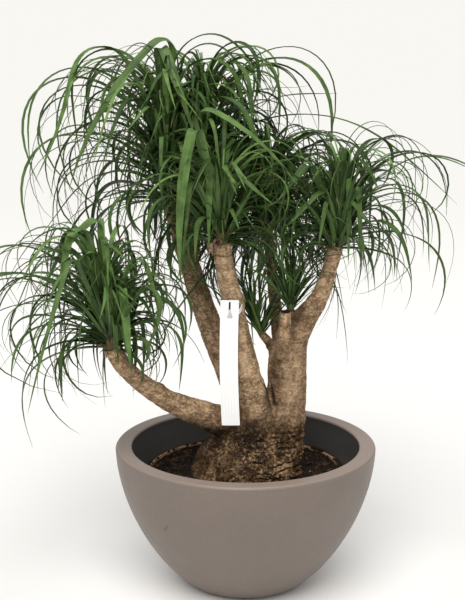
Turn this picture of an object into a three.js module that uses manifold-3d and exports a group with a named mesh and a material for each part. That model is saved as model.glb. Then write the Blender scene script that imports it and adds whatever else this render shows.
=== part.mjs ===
// A ponytail palm in a round bowl: a swollen corky foot with several stems, each ending in a
// head of long arching leaves. Millimetres, +Z up, the origin at the middle of the bowl's base.
// The front of the plant looks along -Y and its right side along +X.

import * as THREE from "three";
import { mergeVertices } from "three/addons/utils/BufferGeometryUtils.js";
import Module from "manifold-3d";

const wasm = await Module();
wasm.setup();

// Driving dimensions, all in millimetres.

const CLEARANCE = 0.3; // between pieces that rest on each other

const BOWL = {
  rimRadius: 200,
  baseRadius: 80,
  height: 222,
  sideCurve: 1.8, // powers of the rounded side, from upright at the rim to flared at the base
  baseCurve: 1.31,
  rimWidth: 25,
  rimRound: 4,
  floor: 24,
  innerWall: [
    [162, 176], // radius and height, from just under the rim down to the floor
    [148, 128],
    [129, 80],
    [107, 42],
    [93, 24],
  ],
  outerRings: 9,
  sides: 44,
};

const GROW_POT = {
  rimRadius: 151,
  rimTop: 180,
  rimDrop: 20, // height of the band under the rim
  rimStep: 6, // how far the band stands out from the wall below it
  footRadius: 88,
  wall: 3,
  drains: 5,
  drainRadius: 5,
  drainCircle: 55,
  sides: 40,
};

const SOIL = {
  top: 176, // at the grow pot's wall
  mound: 6, // higher beside the trunk
  moundRadius: 95,
  roughness: 2.5,
};

const FOOT = {
  centre: [2, -6],
  halfWidth: 88,
  halfDepth: 74,
  bottom: 120,
  widest: 178,
  top: 262,
  bottomWidth: 0.4, // shares of the full width at the bottom and the top
  topWidth: 0.38,
  shoulder: 1.35, // power of the curve from the widest height to the top
  lumps: 0.05, // share by which the bark stands in or out
  sides: 26,
};

const LIMB_SIDES = 10;
const TAG = {
  width: 27,
  length: 190,
  thickness: 0.8,
  corner: 3,
  slotWidth: 1.6,
  slotLength: 13,
  slotDrop: 9, // from the top edge to the slot's middle
  top: [-24, -55.5, 463],
  bottomForward: 9, // how far the hanging end stands in front of the slot
  bandHeight: 9,
  bandHalfWidth: 19.8,
  bandHalfDepth: 23,
  bandCentre: [-19.6, -33.5, 452],
};

const BLADE = {
  keel: 0.16, // depth of the V under the flat, as a share of the width
  thinnest: 0.9,
  spans: 5,
  footWidth: 0.35, // share of the full width at the root
  footTaper: 0.2, // share of the length over which the rest of the width comes in
  tipTaper: 0.5, // the last share of the length, over which the width runs out
  tipWidth: 0.15, // share of the full width just before the point
};

const GOLDEN_ANGLE = 137.508; // degrees between one leaf and the next up the stem

// Small helpers.

const vec = (point) => new THREE.Vector3(...point);
const radians = (degrees) => THREE.MathUtils.degToRad(degrees);
const mix = THREE.MathUtils.lerp;

// A repeatable draw between 0 and 1: draw number k for the thing numbered i.
function draw(i, k) {
  const wave = Math.sin(i * 12.9898 + k * 78.233) * 43758.5453;
  return wave - Math.floor(wave);
}

// The same draw, between -size and size.
function spread(i, k, size) {
  return (2 * draw(i, k) - 1) * size;
}

function solidOf(geometry) {
  const bare = geometry.clone();
  bare.deleteAttribute("normal");
  bare.deleteAttribute("uv");
  const merged = mergeVertices(bare, 1e-4);
  return new wasm.Manifold(
    new wasm.Mesh({
      numProp: 3,
      vertProperties: new Float32Array(merged.attributes.position.array),
      triVerts: new Uint32Array(merged.index.array),
    }),
  );
}

function geometryOf(solid) {
  const mesh = solid.getMesh();
  return new THREE.BufferGeometry()
    .setAttribute("position", new THREE.BufferAttribute(mesh.vertProperties, 3))
    .setIndex(new THREE.BufferAttribute(mesh.triVerts, 1));
}

// A closed skin over rings that all have the same number of points. A last ring of one point
// makes a tip. The rings run so that each one's points turn left about the way ahead.
function loft(rings) {
  const points = rings.flat();
  const count = rings[0].length;
  const faces = [];
  for (let i = 2; i < count; i++) faces.push(0, i, i - 1);
  let start = 0;
  for (let r = 1; r < rings.length; r++) {
    const next = start + count;
    const pointed = rings[r].length === 1;
    for (let i = 0; i < count; i++) {
      const j = (i + 1) % count;
      if (pointed) {
        faces.push(start + i, start + j, next);
      } else {
        faces.push(start + i, start + j, next + j);
        faces.push(start + i, next + j, next + i);
      }
    }
    if (r === rings.length - 1 && !pointed) {
      for (let i = 2; i < count; i++) faces.push(next, next + i - 1, next + i);
    }
    start = next;
  }
  return new THREE.BufferGeometry().setFromPoints(points).setIndex(faces);
}

// A solid of revolution about the upright axis, from [radius, height] pairs.
function turned(profile, sides) {
  const outline = profile.map(([radius, height]) => new THREE.Vector2(radius, height));
  return new THREE.LatheGeometry(outline, sides).rotateX(Math.PI / 2);
}

function named(name, solid, look) {
  const material = new THREE.MeshStandardMaterial(look);
  const mesh = new THREE.Mesh(geometryOf(solid), material);
  mesh.name = name;
  return mesh;
}

// The bowl: a rounded outside, a flat rim and a dark inner wall that slopes in to the floor.

function bowlRadius(height) {
  const rise = 1 - height / BOWL.height;
  const swell = (1 - rise ** BOWL.sideCurve) ** (1 / BOWL.baseCurve);
  return BOWL.baseRadius + (BOWL.rimRadius - BOWL.baseRadius) * swell;
}

function bowlSolid() {
  const { rimRadius, rimWidth, rimRound, height, innerWall, outerRings, floor } = BOWL;
  const profile = [[0, 0]];
  for (let i = 0; i <= outerRings; i++) {
    const up = (height - rimRound) * (i / outerRings) ** 1.25;
    profile.push([bowlRadius(up), up]);
  }
  const inner = rimRadius - rimWidth;
  profile.push(
    [rimRadius - rimRound * 0.3, height - rimRound * 0.3],
    [rimRadius - rimRound, height],
    [inner + rimRound * 0.5, height],
    [inner, height - rimRound * 0.5],
    ...innerWall,
    [0, floor],
  );
  return solidOf(turned(profile, BOWL.sides));
}

// The grow pot: a thin pot with a banded rim, standing on the bowl's floor.

const POT_FLOOR = BOWL.floor + CLEARANCE;

function growPotSolid() {
  const { rimRadius, rimTop, rimDrop, rimStep, footRadius, wall } = GROW_POT;
  const bandFoot = rimTop - rimDrop;
  const shell = solidOf(
    turned(
      [
        [0, POT_FLOOR],
        [footRadius, POT_FLOOR],
        [rimRadius - rimStep, bandFoot - rimStep],
        [rimRadius, bandFoot],
        [rimRadius, rimTop],
        [rimRadius - wall, rimTop],
        [rimRadius - wall, bandFoot],
        [rimRadius - rimStep - wall, bandFoot - rimStep],
        [footRadius - wall, POT_FLOOR + wall],
        [0, POT_FLOOR + wall],
      ],
      GROW_POT.sides,
    ),
  );
  const drains = [];
  for (let i = 0; i < GROW_POT.drains; i++) {
    const angle = (2 * Math.PI * i) / GROW_POT.drains;
    const drill = new THREE.CylinderGeometry(GROW_POT.drainRadius, GROW_POT.drainRadius, 4 * wall, 8)
      .rotateX(Math.PI / 2)
      .translate(
        GROW_POT.drainCircle * Math.cos(angle),
        GROW_POT.drainCircle * Math.sin(angle),
        POT_FLOOR,
      );
    drains.push(solidOf(drill));
  }
  return shell.subtract(wasm.Manifold.union(drains));
}

// The trunk's swollen foot, which is widest just under the soil. A margin makes it larger all
// round, for the hollow that it stands in.

function footRing(height, margin) {
  const { centre, halfWidth, halfDepth, bottom, widest, top, lumps, sides } = FOOT;
  const buried = height < widest;
  const down = (widest - height) / (widest - bottom);
  const up = (height - widest) / (top - widest);
  const fullness = buried
    ? Math.sqrt(1 - (1 - FOOT.bottomWidth ** 2) * down ** 2)
    : 1 - (1 - FOOT.topWidth) * up ** FOOT.shoulder;
  const ring = [];
  for (let i = 0; i < sides; i++) {
    const angle = (2 * Math.PI * i) / sides;
    const wave = Math.sin(3 * angle + height / 14) * Math.sin(5 * angle - height / 23);
    const lump = buried ? 1 : 1 + lumps * wave;
    ring.push(
      new THREE.Vector3(
        centre[0] + Math.cos(angle) * (halfWidth * fullness * lump + margin),
        centre[1] + Math.sin(angle) * (halfDepth * fullness * lump + margin),
        height,
      ),
    );
  }
  return ring;
}

function footSolid(heights, margin) {
  return solidOf(loft(heights.map((height) => footRing(height, margin))));
}

// Stems and branches: centre points from foot to tip, each with the bark's radius there.

const LIMBS = {
  middle: [
    [12, -14, 222, 30],
    [15, -20, 283, 26],
    [0, -24, 338, 24],
    [-12, -27, 390, 21.5],
    [-21, -30, 456, 16],
    [-31, -33, 502, 14],
    [-37, -37, 543, 15],
  ],
  backLeft: [
    [-4, 2, 236, 28],
    [-18, 20, 309, 20.5],
    [-39, 40, 358, 19.5],
    [-64, 58, 421, 18.5],
    [-81, 68, 471, 16.5],
    [-100, 75, 534, 15],
    [-114, 79, 584, 15],
  ],
  left: [
    [-18, -10, 246, 26],
    [-51, -25, 272, 23],
    [-86, -44, 290, 18.5],
    [-128, -62, 316, 15.5],
    [-160, -72, 344, 14],
    [-184, -79, 372, 13.5],
    [-196, -83, 396, 14.5],
  ],
  right: [
    [50, -2, 200, 38],
    [57, 4, 250, 34],
    [63, 8, 306, 31],
    [64, 8, 350, 31],
    [68, 4, 385, 29],
    [82, -3, 411, 22],
    [98, -9, 434, 17],
    [113, -15, 460, 14],
    [126, -20, 508, 11.5],
    [132, -22, 532, 12.5],
  ],
  back: [
    [62, 16, 350, 18],
    [49, 32, 404, 11],
    [43, 46, 455, 9],
    [38, 56, 507, 8.5],
    [32, 62, 552, 10],
  ],
  top: [
    [-86, 70, 486, 13],
    [-80, 80, 530, 12],
    [-74, 93, 586, 11],
    [-70, 100, 640, 11.5],
  ],
  stub: [
    [57, -14, 368, 15],
    [57, -30, 390, 11.5],
    [58, -37, 416, 9.6],
    [58.5, -41, 441, 9.2],
  ],
  upperSprout: [
    [70, -2, 400, 10],
    [68, -10, 424, 7.5],
    [67, -13, 437, 7],
  ],
  lowerSprout: [
    [48, -2, 372, 10],
    [34, -6, 386, 7.5],
    [24, -10, 399, 6.5],
  ],
};

function limbPath(points) {
  const places = points.map((point) => vec(point.slice(0, 3)));
  return new THREE.CatmullRomCurve3(places, false, "centripetal");
}

function limbSolid(points, seed) {
  const path = limbPath(points);
  const steps = Math.max(6, Math.round(path.getLength() / 30));
  const frames = path.computeFrenetFrames(steps, false);
  const rings = [];
  for (let s = 0; s <= steps; s++) {
    const t = path.getUtoTmapping(s / steps);
    const centre = path.getPoint(t);
    const place = t * (points.length - 1);
    const before = Math.min(Math.floor(place), points.length - 2);
    const radius = mix(points[before][3], points[before + 1][3], place - before);
    const ring = [];
    for (let i = 0; i < LIMB_SIDES; i++) {
      const angle = (2 * Math.PI * i) / LIMB_SIDES;
      const lump = 1 + spread(seed * 97 + s * LIMB_SIDES + i, 3, s === steps ? 0 : 0.045);
      const out = frames.normals[s].clone().multiplyScalar(Math.cos(angle) * radius * lump);
      out.addScaledVector(frames.binormals[s], Math.sin(angle) * radius * lump);
      ring.push(centre.clone().add(out));
    }
    rings.push(ring);
  }
  return solidOf(loft(rings));
}

// The foot and its hollow share their heights in the soil, so that the gap between them is even.
const BURIED_HEIGHTS = [136, 157, FOOT.widest, 192];
const FOOT_HEIGHTS = [FOOT.bottom, ...BURIED_HEIGHTS, 208, 225, 243, FOOT.top];
const HOLLOW_HEIGHTS = [FOOT.bottom - CLEARANCE, ...BURIED_HEIGHTS];

function trunkSolid() {
  const limbs = Object.values(LIMBS).map((points, seed) => limbSolid(points, seed));
  return wasm.Manifold.union([footSolid(FOOT_HEIGHTS, 0), ...limbs]);
}

// The soil: it fills the grow pot and is heaped a little round the trunk, with a plain hollow
// for the trunk's foot.

function soilSolid() {
  const { rimRadius, rimDrop, rimTop, rimStep, footRadius, wall } = GROW_POT;
  const bandFoot = rimTop - rimDrop;
  const inside = wall + 1.5 * CLEARANCE;
  const rings = [];
  const ringAt = (radius, height, rough) => {
    const ring = [];
    for (let i = 0; i < GROW_POT.sides; i++) {
      const angle = (2 * Math.PI * i) / GROW_POT.sides;
      const bump = rough ? spread(i + Math.round(radius), 7, SOIL.roughness) : 0;
      ring.push(new THREE.Vector3(radius * Math.cos(angle), radius * Math.sin(angle), height + bump));
    }
    rings.push(ring);
  };
  ringAt(footRadius - inside, POT_FLOOR + inside, false);
  ringAt(rimRadius - rimStep - inside, bandFoot - rimStep, false);
  ringAt(rimRadius - inside, bandFoot, false);
  ringAt(rimRadius - inside, SOIL.top - 3, false);
  ringAt(rimRadius - 14, SOIL.top, true);
  ringAt(122, SOIL.top + 1, true);
  ringAt(SOIL.moundRadius + 6, SOIL.top + SOIL.mound * 0.7, true);
  ringAt(SOIL.moundRadius - 30, SOIL.top + SOIL.mound, false);
  return solidOf(loft(rings)).subtract(footSolid(HOLLOW_HEIGHTS, CLEARANCE + 0.1));
}

// The plant label: a blank strip with a slot, and the band that loops from the slot round the
// middle stem.

function tagSolid() {
  const { width, length, corner, thickness, slotWidth, slotLength, slotDrop } = TAG;
  const strip = new THREE.Shape();
  const half = width / 2;
  strip.moveTo(-half + corner, -length);
  strip.lineTo(half - corner, -length);
  strip.absarc(half - corner, -length + corner, corner, -Math.PI / 2, 0);
  strip.lineTo(half, -corner);
  strip.absarc(half - corner, -corner, corner, 0, Math.PI / 2);
  strip.lineTo(-half + corner, 0);
  strip.absarc(-half + corner, -corner, corner, Math.PI / 2, Math.PI);
  strip.lineTo(-half, -length + corner);
  strip.absarc(-half + corner, -length + corner, corner, Math.PI, 1.5 * Math.PI);
  const slot = new THREE.Path();
  slot.moveTo(-slotWidth / 2, -slotDrop - slotLength / 2);
  slot.lineTo(-slotWidth / 2, -slotDrop + slotLength / 2);
  slot.lineTo(slotWidth / 2, -slotDrop + slotLength / 2);
  slot.lineTo(slotWidth / 2, -slotDrop - slotLength / 2);
  strip.holes.push(slot);
  const hang = Math.atan2(TAG.bottomForward, length);
  const sheetCut = { depth: thickness, bevelEnabled: false, curveSegments: 2 };
  const sheet = new THREE.ExtrudeGeometry(strip, sheetCut)
    .rotateX(Math.PI / 2 - hang)
    .translate(...TAG.top);

  const band = new THREE.Shape();
  band.absellipse(0, 0, TAG.bandHalfWidth, TAG.bandHalfDepth, 0, 2 * Math.PI);
  const opening = new THREE.Path();
  opening.absellipse(0, 0, TAG.bandHalfWidth - thickness, TAG.bandHalfDepth - thickness, 0, 2 * Math.PI);
  band.holes.push(opening);
  const bandCut = { depth: TAG.bandHeight, bevelEnabled: false, curveSegments: 10 };
  const loop = new THREE.ExtrudeGeometry(band, bandCut)
    .translate(0, 0, -TAG.bandHeight / 2)
    .translate(...TAG.bandCentre);
  return solidOf(sheet).add(solidOf(loop));
}

// The leaf heads. Each grows from a short core that carries on from its stem's flat tip. The
// first leaves of a head are the few long ones that give it its outline, set by hand. The rest
// follow the rule below. azimuth 0 points along +X and 90 along +Y.

const HEADS = [
  {
    node: "head_back_left",
    limb: "backLeft",
    axis: [-6, 2, 60],
    coreRadius: 11,
    coreLength: 116,
    leaves: 40,
    reach: 400,
    turn: 20,
    seed: 100,
    chosen: [
      { azimuth: 235, rise: 86, fall: -55, length: 540, bend: 0.39, curl: 0.14, width: 16, up: 0.4 },
      { azimuth: 170, rise: 70, fall: -80, length: 360, bend: 0.55, curl: 0.4, width: 15, up: 0.5 },
      { azimuth: 205, rise: 76, fall: -105, length: 530, bend: 0.38, curl: 0.85, width: 14, up: 0.75 },
      { azimuth: 280, rise: 87, fall: -55, length: 440, bend: 0.4, curl: 0.1, width: 18, up: 0.85 },
    ],
  },
  {
    node: "head_top",
    limb: "top",
    axis: [2, 2, 60],
    coreRadius: 10,
    coreLength: 80,
    leaves: 40,
    reach: 350,
    turn: 75,
    seed: 300,
    chosen: [
      { azimuth: -50, rise: 84, fall: -50, length: 320, bend: 0.42, curl: 0.3, width: 9, up: 0.7 },
      { azimuth: -30, rise: 76, fall: -70, length: 360, bend: 0.42, curl: 0.6, width: 9, up: 0.7 },
      { azimuth: -5, rise: 66, fall: -78, length: 450, bend: 0.42, curl: 0.8, width: 13, up: 0.8 },
      { azimuth: 12, rise: 58, fall: -100, length: 480, bend: 0.5, curl: 0.9, width: 10, up: 0.6 },
    ],
  },
  {
    node: "head_front",
    limb: "middle",
    axis: [2, -2, 60],
    coreRadius: 11,
    coreLength: 70,
    leaves: 32,
    reach: 320,
    turn: 0,
    seed: 500,
    chosen: [
      { azimuth: 240, rise: 75, fall: -80, length: 440, bend: 0.36, curl: 0.1, width: 18, up: 0.5 },
      { azimuth: 265, rise: 60, fall: -78, length: 330, bend: 0.42, curl: 0.06, width: 14, up: 0.4 },
      { azimuth: 250, rise: 50, fall: -80, length: 320, bend: 0.4, curl: 0.05, width: 8, up: 0.15 },
      { azimuth: -30, rise: 85, fall: -70, length: 500, bend: 0.4, curl: 0.3, width: 15, up: 0.8 },
      { azimuth: -40, rise: 74, fall: -83, length: 310, bend: 0.47, curl: 0.15, width: 12, up: 0.3 },
    ],
  },
  {
    node: "head_right",
    limb: "right",
    axis: [8, -2, 60],
    coreRadius: 10,
    coreLength: 70,
    leaves: 36,
    reach: 360,
    turn: 40,
    seed: 700,
    chosen: [
      { azimuth: 35, rise: 84, fall: -62, length: 460, bend: 0.32, curl: 0.5, width: 13, up: 0.5 },
      { azimuth: 20, rise: 70, fall: -62, length: 400, bend: 0.4, curl: 0.9, width: 12, up: 0.5 },
      { azimuth: -88, rise: 45, fall: -78, length: 400, bend: 0.42, curl: 0.15, width: 15, up: 0.2 },
      { azimuth: -30, rise: 60, fall: -75, length: 380, bend: 0.4, curl: 0.7, width: 12, up: 0.5 },
    ],
  },
  {
    node: "head_left",
    limb: "left",
    axis: [-6, -4, 60],
    coreRadius: 11,
    coreLength: 76,
    leaves: 38,
    reach: 340,
    turn: 110,
    seed: 900,
    chosen: [
      { azimuth: 165, rise: 84, fall: -70, length: 330, bend: 0.46, curl: 0.2, width: 15, up: 0.3 },
      { azimuth: 245, rise: 56, fall: -60, length: 400, bend: 0.4, curl: 0.1, width: 13, up: 0.3 },
      { azimuth: 282, rise: 42, fall: -70, length: 370, bend: 0.4, curl: 0.1, width: 14, up: 0.1 },
      { azimuth: 150, rise: 58, fall: -70, length: 370, bend: 0.5, curl: 0.8, width: 12, up: 0.4 },
    ],
  },
  {
    node: "head_back",
    limb: "back",
    axis: [-4, 4, 60],
    coreRadius: 8.5,
    coreLength: 60,
    leaves: 30,
    reach: 310,
    turn: 65,
    seed: 1100,
    chosen: [],
  },
  {
    node: "sprout_upper",
    limb: "upperSprout",
    axis: [-2, -6, 40],
    coreRadius: 6,
    coreLength: 26,
    leaves: 8,
    reach: 120,
    turn: 15,
    seed: 1300,
    chosen: [],
  },
  {
    node: "sprout_lower",
    limb: "lowerSprout",
    axis: [-26, -6, 34],
    coreRadius: 5.5,
    coreLength: 24,
    leaves: 7,
    reach: 140,
    turn: 50,
    seed: 1400,
    chosen: [],
  },
];

// Leaf number i of a head, from the oldest at the core's foot to the youngest at its tip. Old
// leaves leave the core low and hang, and young ones stand up before they arch over.
function ruledLeaf(head, i) {
  const seed = head.seed + i;
  const age = 1 - (i + 0.5) / head.leaves;
  const hump = 1 - (2 * age - 0.9) ** 2 * 0.35;
  return {
    azimuth: head.turn + i * GOLDEN_ANGLE + spread(seed, 1, 14),
    rise: mix(86, 8, age ** 1.1) + spread(seed, 2, 9),
    fall: mix(-70, -96, age) + spread(seed, 3, 16),
    length: head.reach * hump * mix(0.72, 1.08, draw(seed, 4)),
    bend: mix(0.5, 0.42, age) + spread(seed, 5, 0.08),
    curl: mix(0.5, 0.9, draw(seed, 6)),
    width: mix(8.5, 14, draw(seed, 7)) * Math.min(1, head.reach / 300),
    up: mix(0.08, 0.95, 1 - age),
  };
}

// The core's outline, as shares of its length and of its foot's radius.
const CORE_SHAPE = [
  [0, 1],
  [0.3, 1.35],
  [0.75, 1.2],
  [1, 0.6],
];
const CORE_SIDES = 10;
const ROOT_DEPTH = 0.55; // where a leaf starts, as a share of the way out to the core's skin

function coreRadiusAt(head, share) {
  const next = Math.max(1, CORE_SHAPE.findIndex(([place]) => place >= share));
  const [low, lowSize] = CORE_SHAPE[next - 1];
  const [high, highSize] = CORE_SHAPE[next];
  return head.coreRadius * mix(lowSize, highSize, (share - low) / (high - low));
}

// The middle line of a leaf, as points with the way the leaf lies there. Its slope falls from
// rise to fall over the curl, which is a share of the length with the bend at its middle.
const LINE_STEPS = 60;

function leafLine(head, leaf) {
  const azimuth = radians(leaf.azimuth);
  const out = new THREE.Vector3(Math.cos(azimuth), Math.sin(azimuth), 0);
  const along = vec(head.axis).normalize();
  const root = head.root.clone().addScaledVector(along, head.coreLength * leaf.up);
  root.addScaledVector(out, ROOT_DEPTH * coreRadiusAt(head, leaf.up));
  const line = [];
  const place = root.clone();
  for (let step = 0; step <= LINE_STEPS; step++) {
    const share = step / LINE_STEPS;
    const turned = THREE.MathUtils.smoothstep(share, leaf.bend - leaf.curl / 2, leaf.bend + leaf.curl / 2);
    const slope = radians(mix(leaf.rise, leaf.fall, turned));
    const ahead = out.clone().multiplyScalar(Math.cos(slope));
    ahead.z = Math.sin(slope);
    line.push({ share, turned, place: place.clone(), ahead });
    place.addScaledVector(ahead, leaf.length / LINE_STEPS);
  }
  return line;
}

// The stations of a blade: close together where the leaf bends, far apart where it is straight.
const BEND_WEIGHT = 0.55;

function stations(line) {
  const progress = (spot) => mix(spot.share, spot.turned, BEND_WEIGHT);
  const chosen = [line[0]];
  for (let k = 1; k < BLADE.spans; k++) {
    const spot = line.find((each) => progress(each) >= k / BLADE.spans);
    if (spot.share > chosen.at(-1).share) chosen.push(spot);
  }
  return [...chosen, line.at(-1)];
}

function bladeWidth(leaf, share) {
  const foot = Math.min(1, BLADE.footWidth + share / BLADE.footTaper);
  const tip = Math.min(1, (1 - share) / BLADE.tipTaper);
  return leaf.width * Math.min(foot, mix(BLADE.tipWidth, 1, tip));
}

// One blade: a flat strip with a keel below, three corners to each ring, and a pointed end.
// The margin makes it a little larger all round, to test whether it is clear of its neighbours,
// and skipped leaves out that many stations at the root.
function bladeSolid(head, leaf, margin, skipped = 0) {
  const azimuth = radians(leaf.azimuth);
  const across = new THREE.Vector3(-Math.sin(azimuth), Math.cos(azimuth), 0);
  const spots = stations(leafLine(head, leaf)).slice(skipped);
  const rings = spots.map((spot, k) => {
    const back = new THREE.Vector3().crossVectors(across, spot.ahead);
    if (k === spots.length - 1) return [spot.place.clone().addScaledVector(spot.ahead, margin)];
    const half = bladeWidth(leaf, spot.share) / 2 + margin;
    const depth = Math.max(BLADE.thinnest, 2 * half * BLADE.keel) + margin;
    return [
      spot.place.clone().addScaledVector(across, half).addScaledVector(back, -margin),
      spot.place.clone().addScaledVector(across, -half).addScaledVector(back, -margin),
      spot.place.clone().addScaledVector(back, depth),
    ];
  });
  return solidOf(loft(rings));
}

// The core. Its foot is parallel to its stem's flat tip, and the rest stands square to its axis.
function coreSolid(head) {
  const along = vec(head.axis).normalize();
  const rings = CORE_SHAPE.map(([share, size], r) => {
    const square = r === 0 ? head.stemEnd : along;
    const side = new THREE.Vector3(0, 1, 0).cross(square).normalize();
    const other = new THREE.Vector3().crossVectors(square, side);
    const ring = [];
    for (let i = 0; i < CORE_SIDES; i++) {
      const angle = (2 * Math.PI * i) / CORE_SIDES;
      ring.push(
        head.root
          .clone()
          .addScaledVector(along, head.coreLength * share)
          .addScaledVector(side, Math.cos(angle) * head.coreRadius * size)
          .addScaledVector(other, Math.sin(angle) * head.coreRadius * size),
      );
    }
    return ring;
  });
  return solidOf(loft(rings));
}

const boxed = (solid) => ({ solid, box: solid.boundingBox() });

function isClear(solid, others) {
  const box = solid.boundingBox();
  const near = others.filter((other) =>
    [0, 1, 2].every((a) => other.box.min[a] < box.max[a] && other.box.max[a] > box.min[a]),
  );
  return near.every((other) => other.solid.intersect(solid).isEmpty());
}

// What would cross another piece is turned aside a little, then shortened, and left out last.
// Of the places that are clear, one where the leaf also misses its own head's leaves goes first.
const TURNS = [0, 4, -4, 8, -8, 12, -12, 16, -16, 21, -21];
const SHORTER = [1, 0.82, 0.66];

function clearBlade(head, leaf, others, siblings) {
  for (const share of SHORTER) {
    const clear = [];
    for (const turn of TURNS) {
      const tried = { ...leaf, azimuth: leaf.azimuth + turn, length: leaf.length * share };
      if (!isClear(bladeSolid(head, tried, CLEARANCE), others)) continue;
      if (isClear(bladeSolid(head, tried, 0, 1), siblings)) return tried;
      clear.push(tried);
    }
    if (clear.length) return clear[0];
  }
  return null;
}

function headSolids(fixed) {
  const placed = [];
  for (const head of HEADS) {
    const stem = limbPath(LIMBS[head.limb]);
    head.stemEnd = stem.getTangent(1);
    head.root = stem.getPoint(1).addScaledVector(head.stemEnd, CLEARANCE);
    head.core = coreSolid(head);
    head.blades = [];
  }
  const cores = HEADS.map((head) => boxed(head.core));
  const turns = HEADS.map((head) => {
    const ruled = [];
    for (let i = 0; i < head.leaves; i++) ruled.push(ruledLeaf(head, i));
    return [...head.chosen, ...ruled];
  });
  const most = Math.max(...turns.map((leaves) => leaves.length));
  for (let i = 0; i < most; i++) {
    HEADS.forEach((head, h) => {
      if (i >= turns[h].length) return;
      const others = [
        ...fixed,
        ...cores.filter((core, other) => other !== h),
        ...placed.filter((blade) => blade.head !== h),
      ];
      const siblings = placed.filter((blade) => blade.head === h);
      const leaf = clearBlade(head, turns[h][i], others, siblings);
      if (!leaf) return;
      const blade = bladeSolid(head, leaf, 0);
      head.blades.push(blade);
      placed.push({ head: h, ...boxed(blade) });
    });
  }
  return HEADS.map((head) => wasm.Manifold.union([head.core, ...head.blades]));
}

// The whole plant.

const LOOKS = {
  bowl: { color: 0x8c8078, roughness: 0.55, metalness: 0 },
  growPot: { color: 0xa8623f, roughness: 0.7, metalness: 0 },
  soil: { color: 0x241c16, roughness: 0.95, metalness: 0 },
  bark: { color: 0x8a6f55, roughness: 0.9, metalness: 0 },
  leaf: { color: 0x3f6b2e, roughness: 0.5, metalness: 0 },
  tag: { color: 0xf2f2ef, roughness: 0.5, metalness: 0 },
};

const bowl = bowlSolid();
const growPot = growPotSolid();
const soil = soilSolid();
const trunk = trunkSolid();
const tag = tagSolid();
const heads = headSolids([bowl, soil, trunk, tag].map(boxed));

const plant = new THREE.Group();
plant.add(named("bowl", bowl, LOOKS.bowl));
plant.add(named("grow_pot", growPot, LOOKS.growPot));
plant.add(named("soil", soil, LOOKS.soil));
plant.add(named("trunk", trunk, LOOKS.bark));
plant.add(named("tag", tag, LOOKS.tag));
HEADS.forEach((head, h) => plant.add(named(head.node, heads[h], LOOKS.leaf)));

export default plant;
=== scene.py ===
# %% [markdown]
# # A ponytail palm in a bowl
# The plant is a swollen, corky foot with several stems. Each stem ends in a fountain of long,
# strap-like leaves. It grows in a plastic grow pot of peat, and that stands inside a matt bowl.
# A solid model of every piece already exists at its real size. It is loaded first and it is the
# fixed frame: nothing in it is moved. Each piece here stands in for one of those solids, with a
# finer surface. Lengths are written in millimetres, as a gardener would measure them, and are
# turned into metres only when a mesh is made.

# %% Load the fixed frame
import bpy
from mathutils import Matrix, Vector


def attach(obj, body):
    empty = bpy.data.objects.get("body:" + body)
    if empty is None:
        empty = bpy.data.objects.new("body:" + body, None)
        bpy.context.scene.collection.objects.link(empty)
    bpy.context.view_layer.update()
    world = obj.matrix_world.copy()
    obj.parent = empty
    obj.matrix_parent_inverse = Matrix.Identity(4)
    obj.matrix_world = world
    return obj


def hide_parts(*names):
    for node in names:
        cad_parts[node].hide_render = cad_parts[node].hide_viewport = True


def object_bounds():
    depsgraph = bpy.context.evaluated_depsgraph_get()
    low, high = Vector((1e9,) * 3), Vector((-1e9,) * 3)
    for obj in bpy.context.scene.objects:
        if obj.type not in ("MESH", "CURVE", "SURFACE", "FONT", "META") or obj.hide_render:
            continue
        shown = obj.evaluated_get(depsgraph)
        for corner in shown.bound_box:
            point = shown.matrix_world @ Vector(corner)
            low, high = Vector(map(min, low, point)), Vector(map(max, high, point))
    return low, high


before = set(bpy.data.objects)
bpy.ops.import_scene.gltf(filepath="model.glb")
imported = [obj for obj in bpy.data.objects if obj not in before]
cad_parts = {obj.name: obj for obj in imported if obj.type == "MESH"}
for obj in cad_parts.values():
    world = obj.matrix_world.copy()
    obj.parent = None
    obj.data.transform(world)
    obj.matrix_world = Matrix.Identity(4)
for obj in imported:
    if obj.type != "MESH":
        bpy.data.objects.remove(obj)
CAD_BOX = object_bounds()
print("solids:", len(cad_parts), "box in metres:", [tuple(corner) for corner in CAD_BOX])

# %% Tools that every piece uses
import math

import bpy
import numpy as np
from mathutils import Vector, noise

MM = 0.001
BODY = "root"

# %% [markdown]
# ## The camera comes first
# Everything is judged from the place where the photographer stood, so the camera is set before
# any piece is made. It stands 2.2 m in front of the plant, a little above the leaves, and looks
# about 13 degrees down. The long lens keeps the rim of the bowl from bulging.

# %% Set the camera
CAMERA_PLACE = (-0.0201, -2.2, 0.9599)
CAMERA_PITCH = 76.917  # degrees up from looking straight down
CAMERA_LENS = 89.8

camera_data = bpy.data.cameras.new("camera")
camera_data.lens = CAMERA_LENS
camera = bpy.data.objects.new("camera", camera_data)
camera.location = CAMERA_PLACE
camera.rotation_euler = (math.radians(CAMERA_PITCH), 0, 0)
bpy.context.scene.collection.objects.link(camera)
bpy.context.scene.camera = camera
print("camera at", CAMERA_PLACE, "with a lens of", CAMERA_LENS, "mm")
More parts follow.
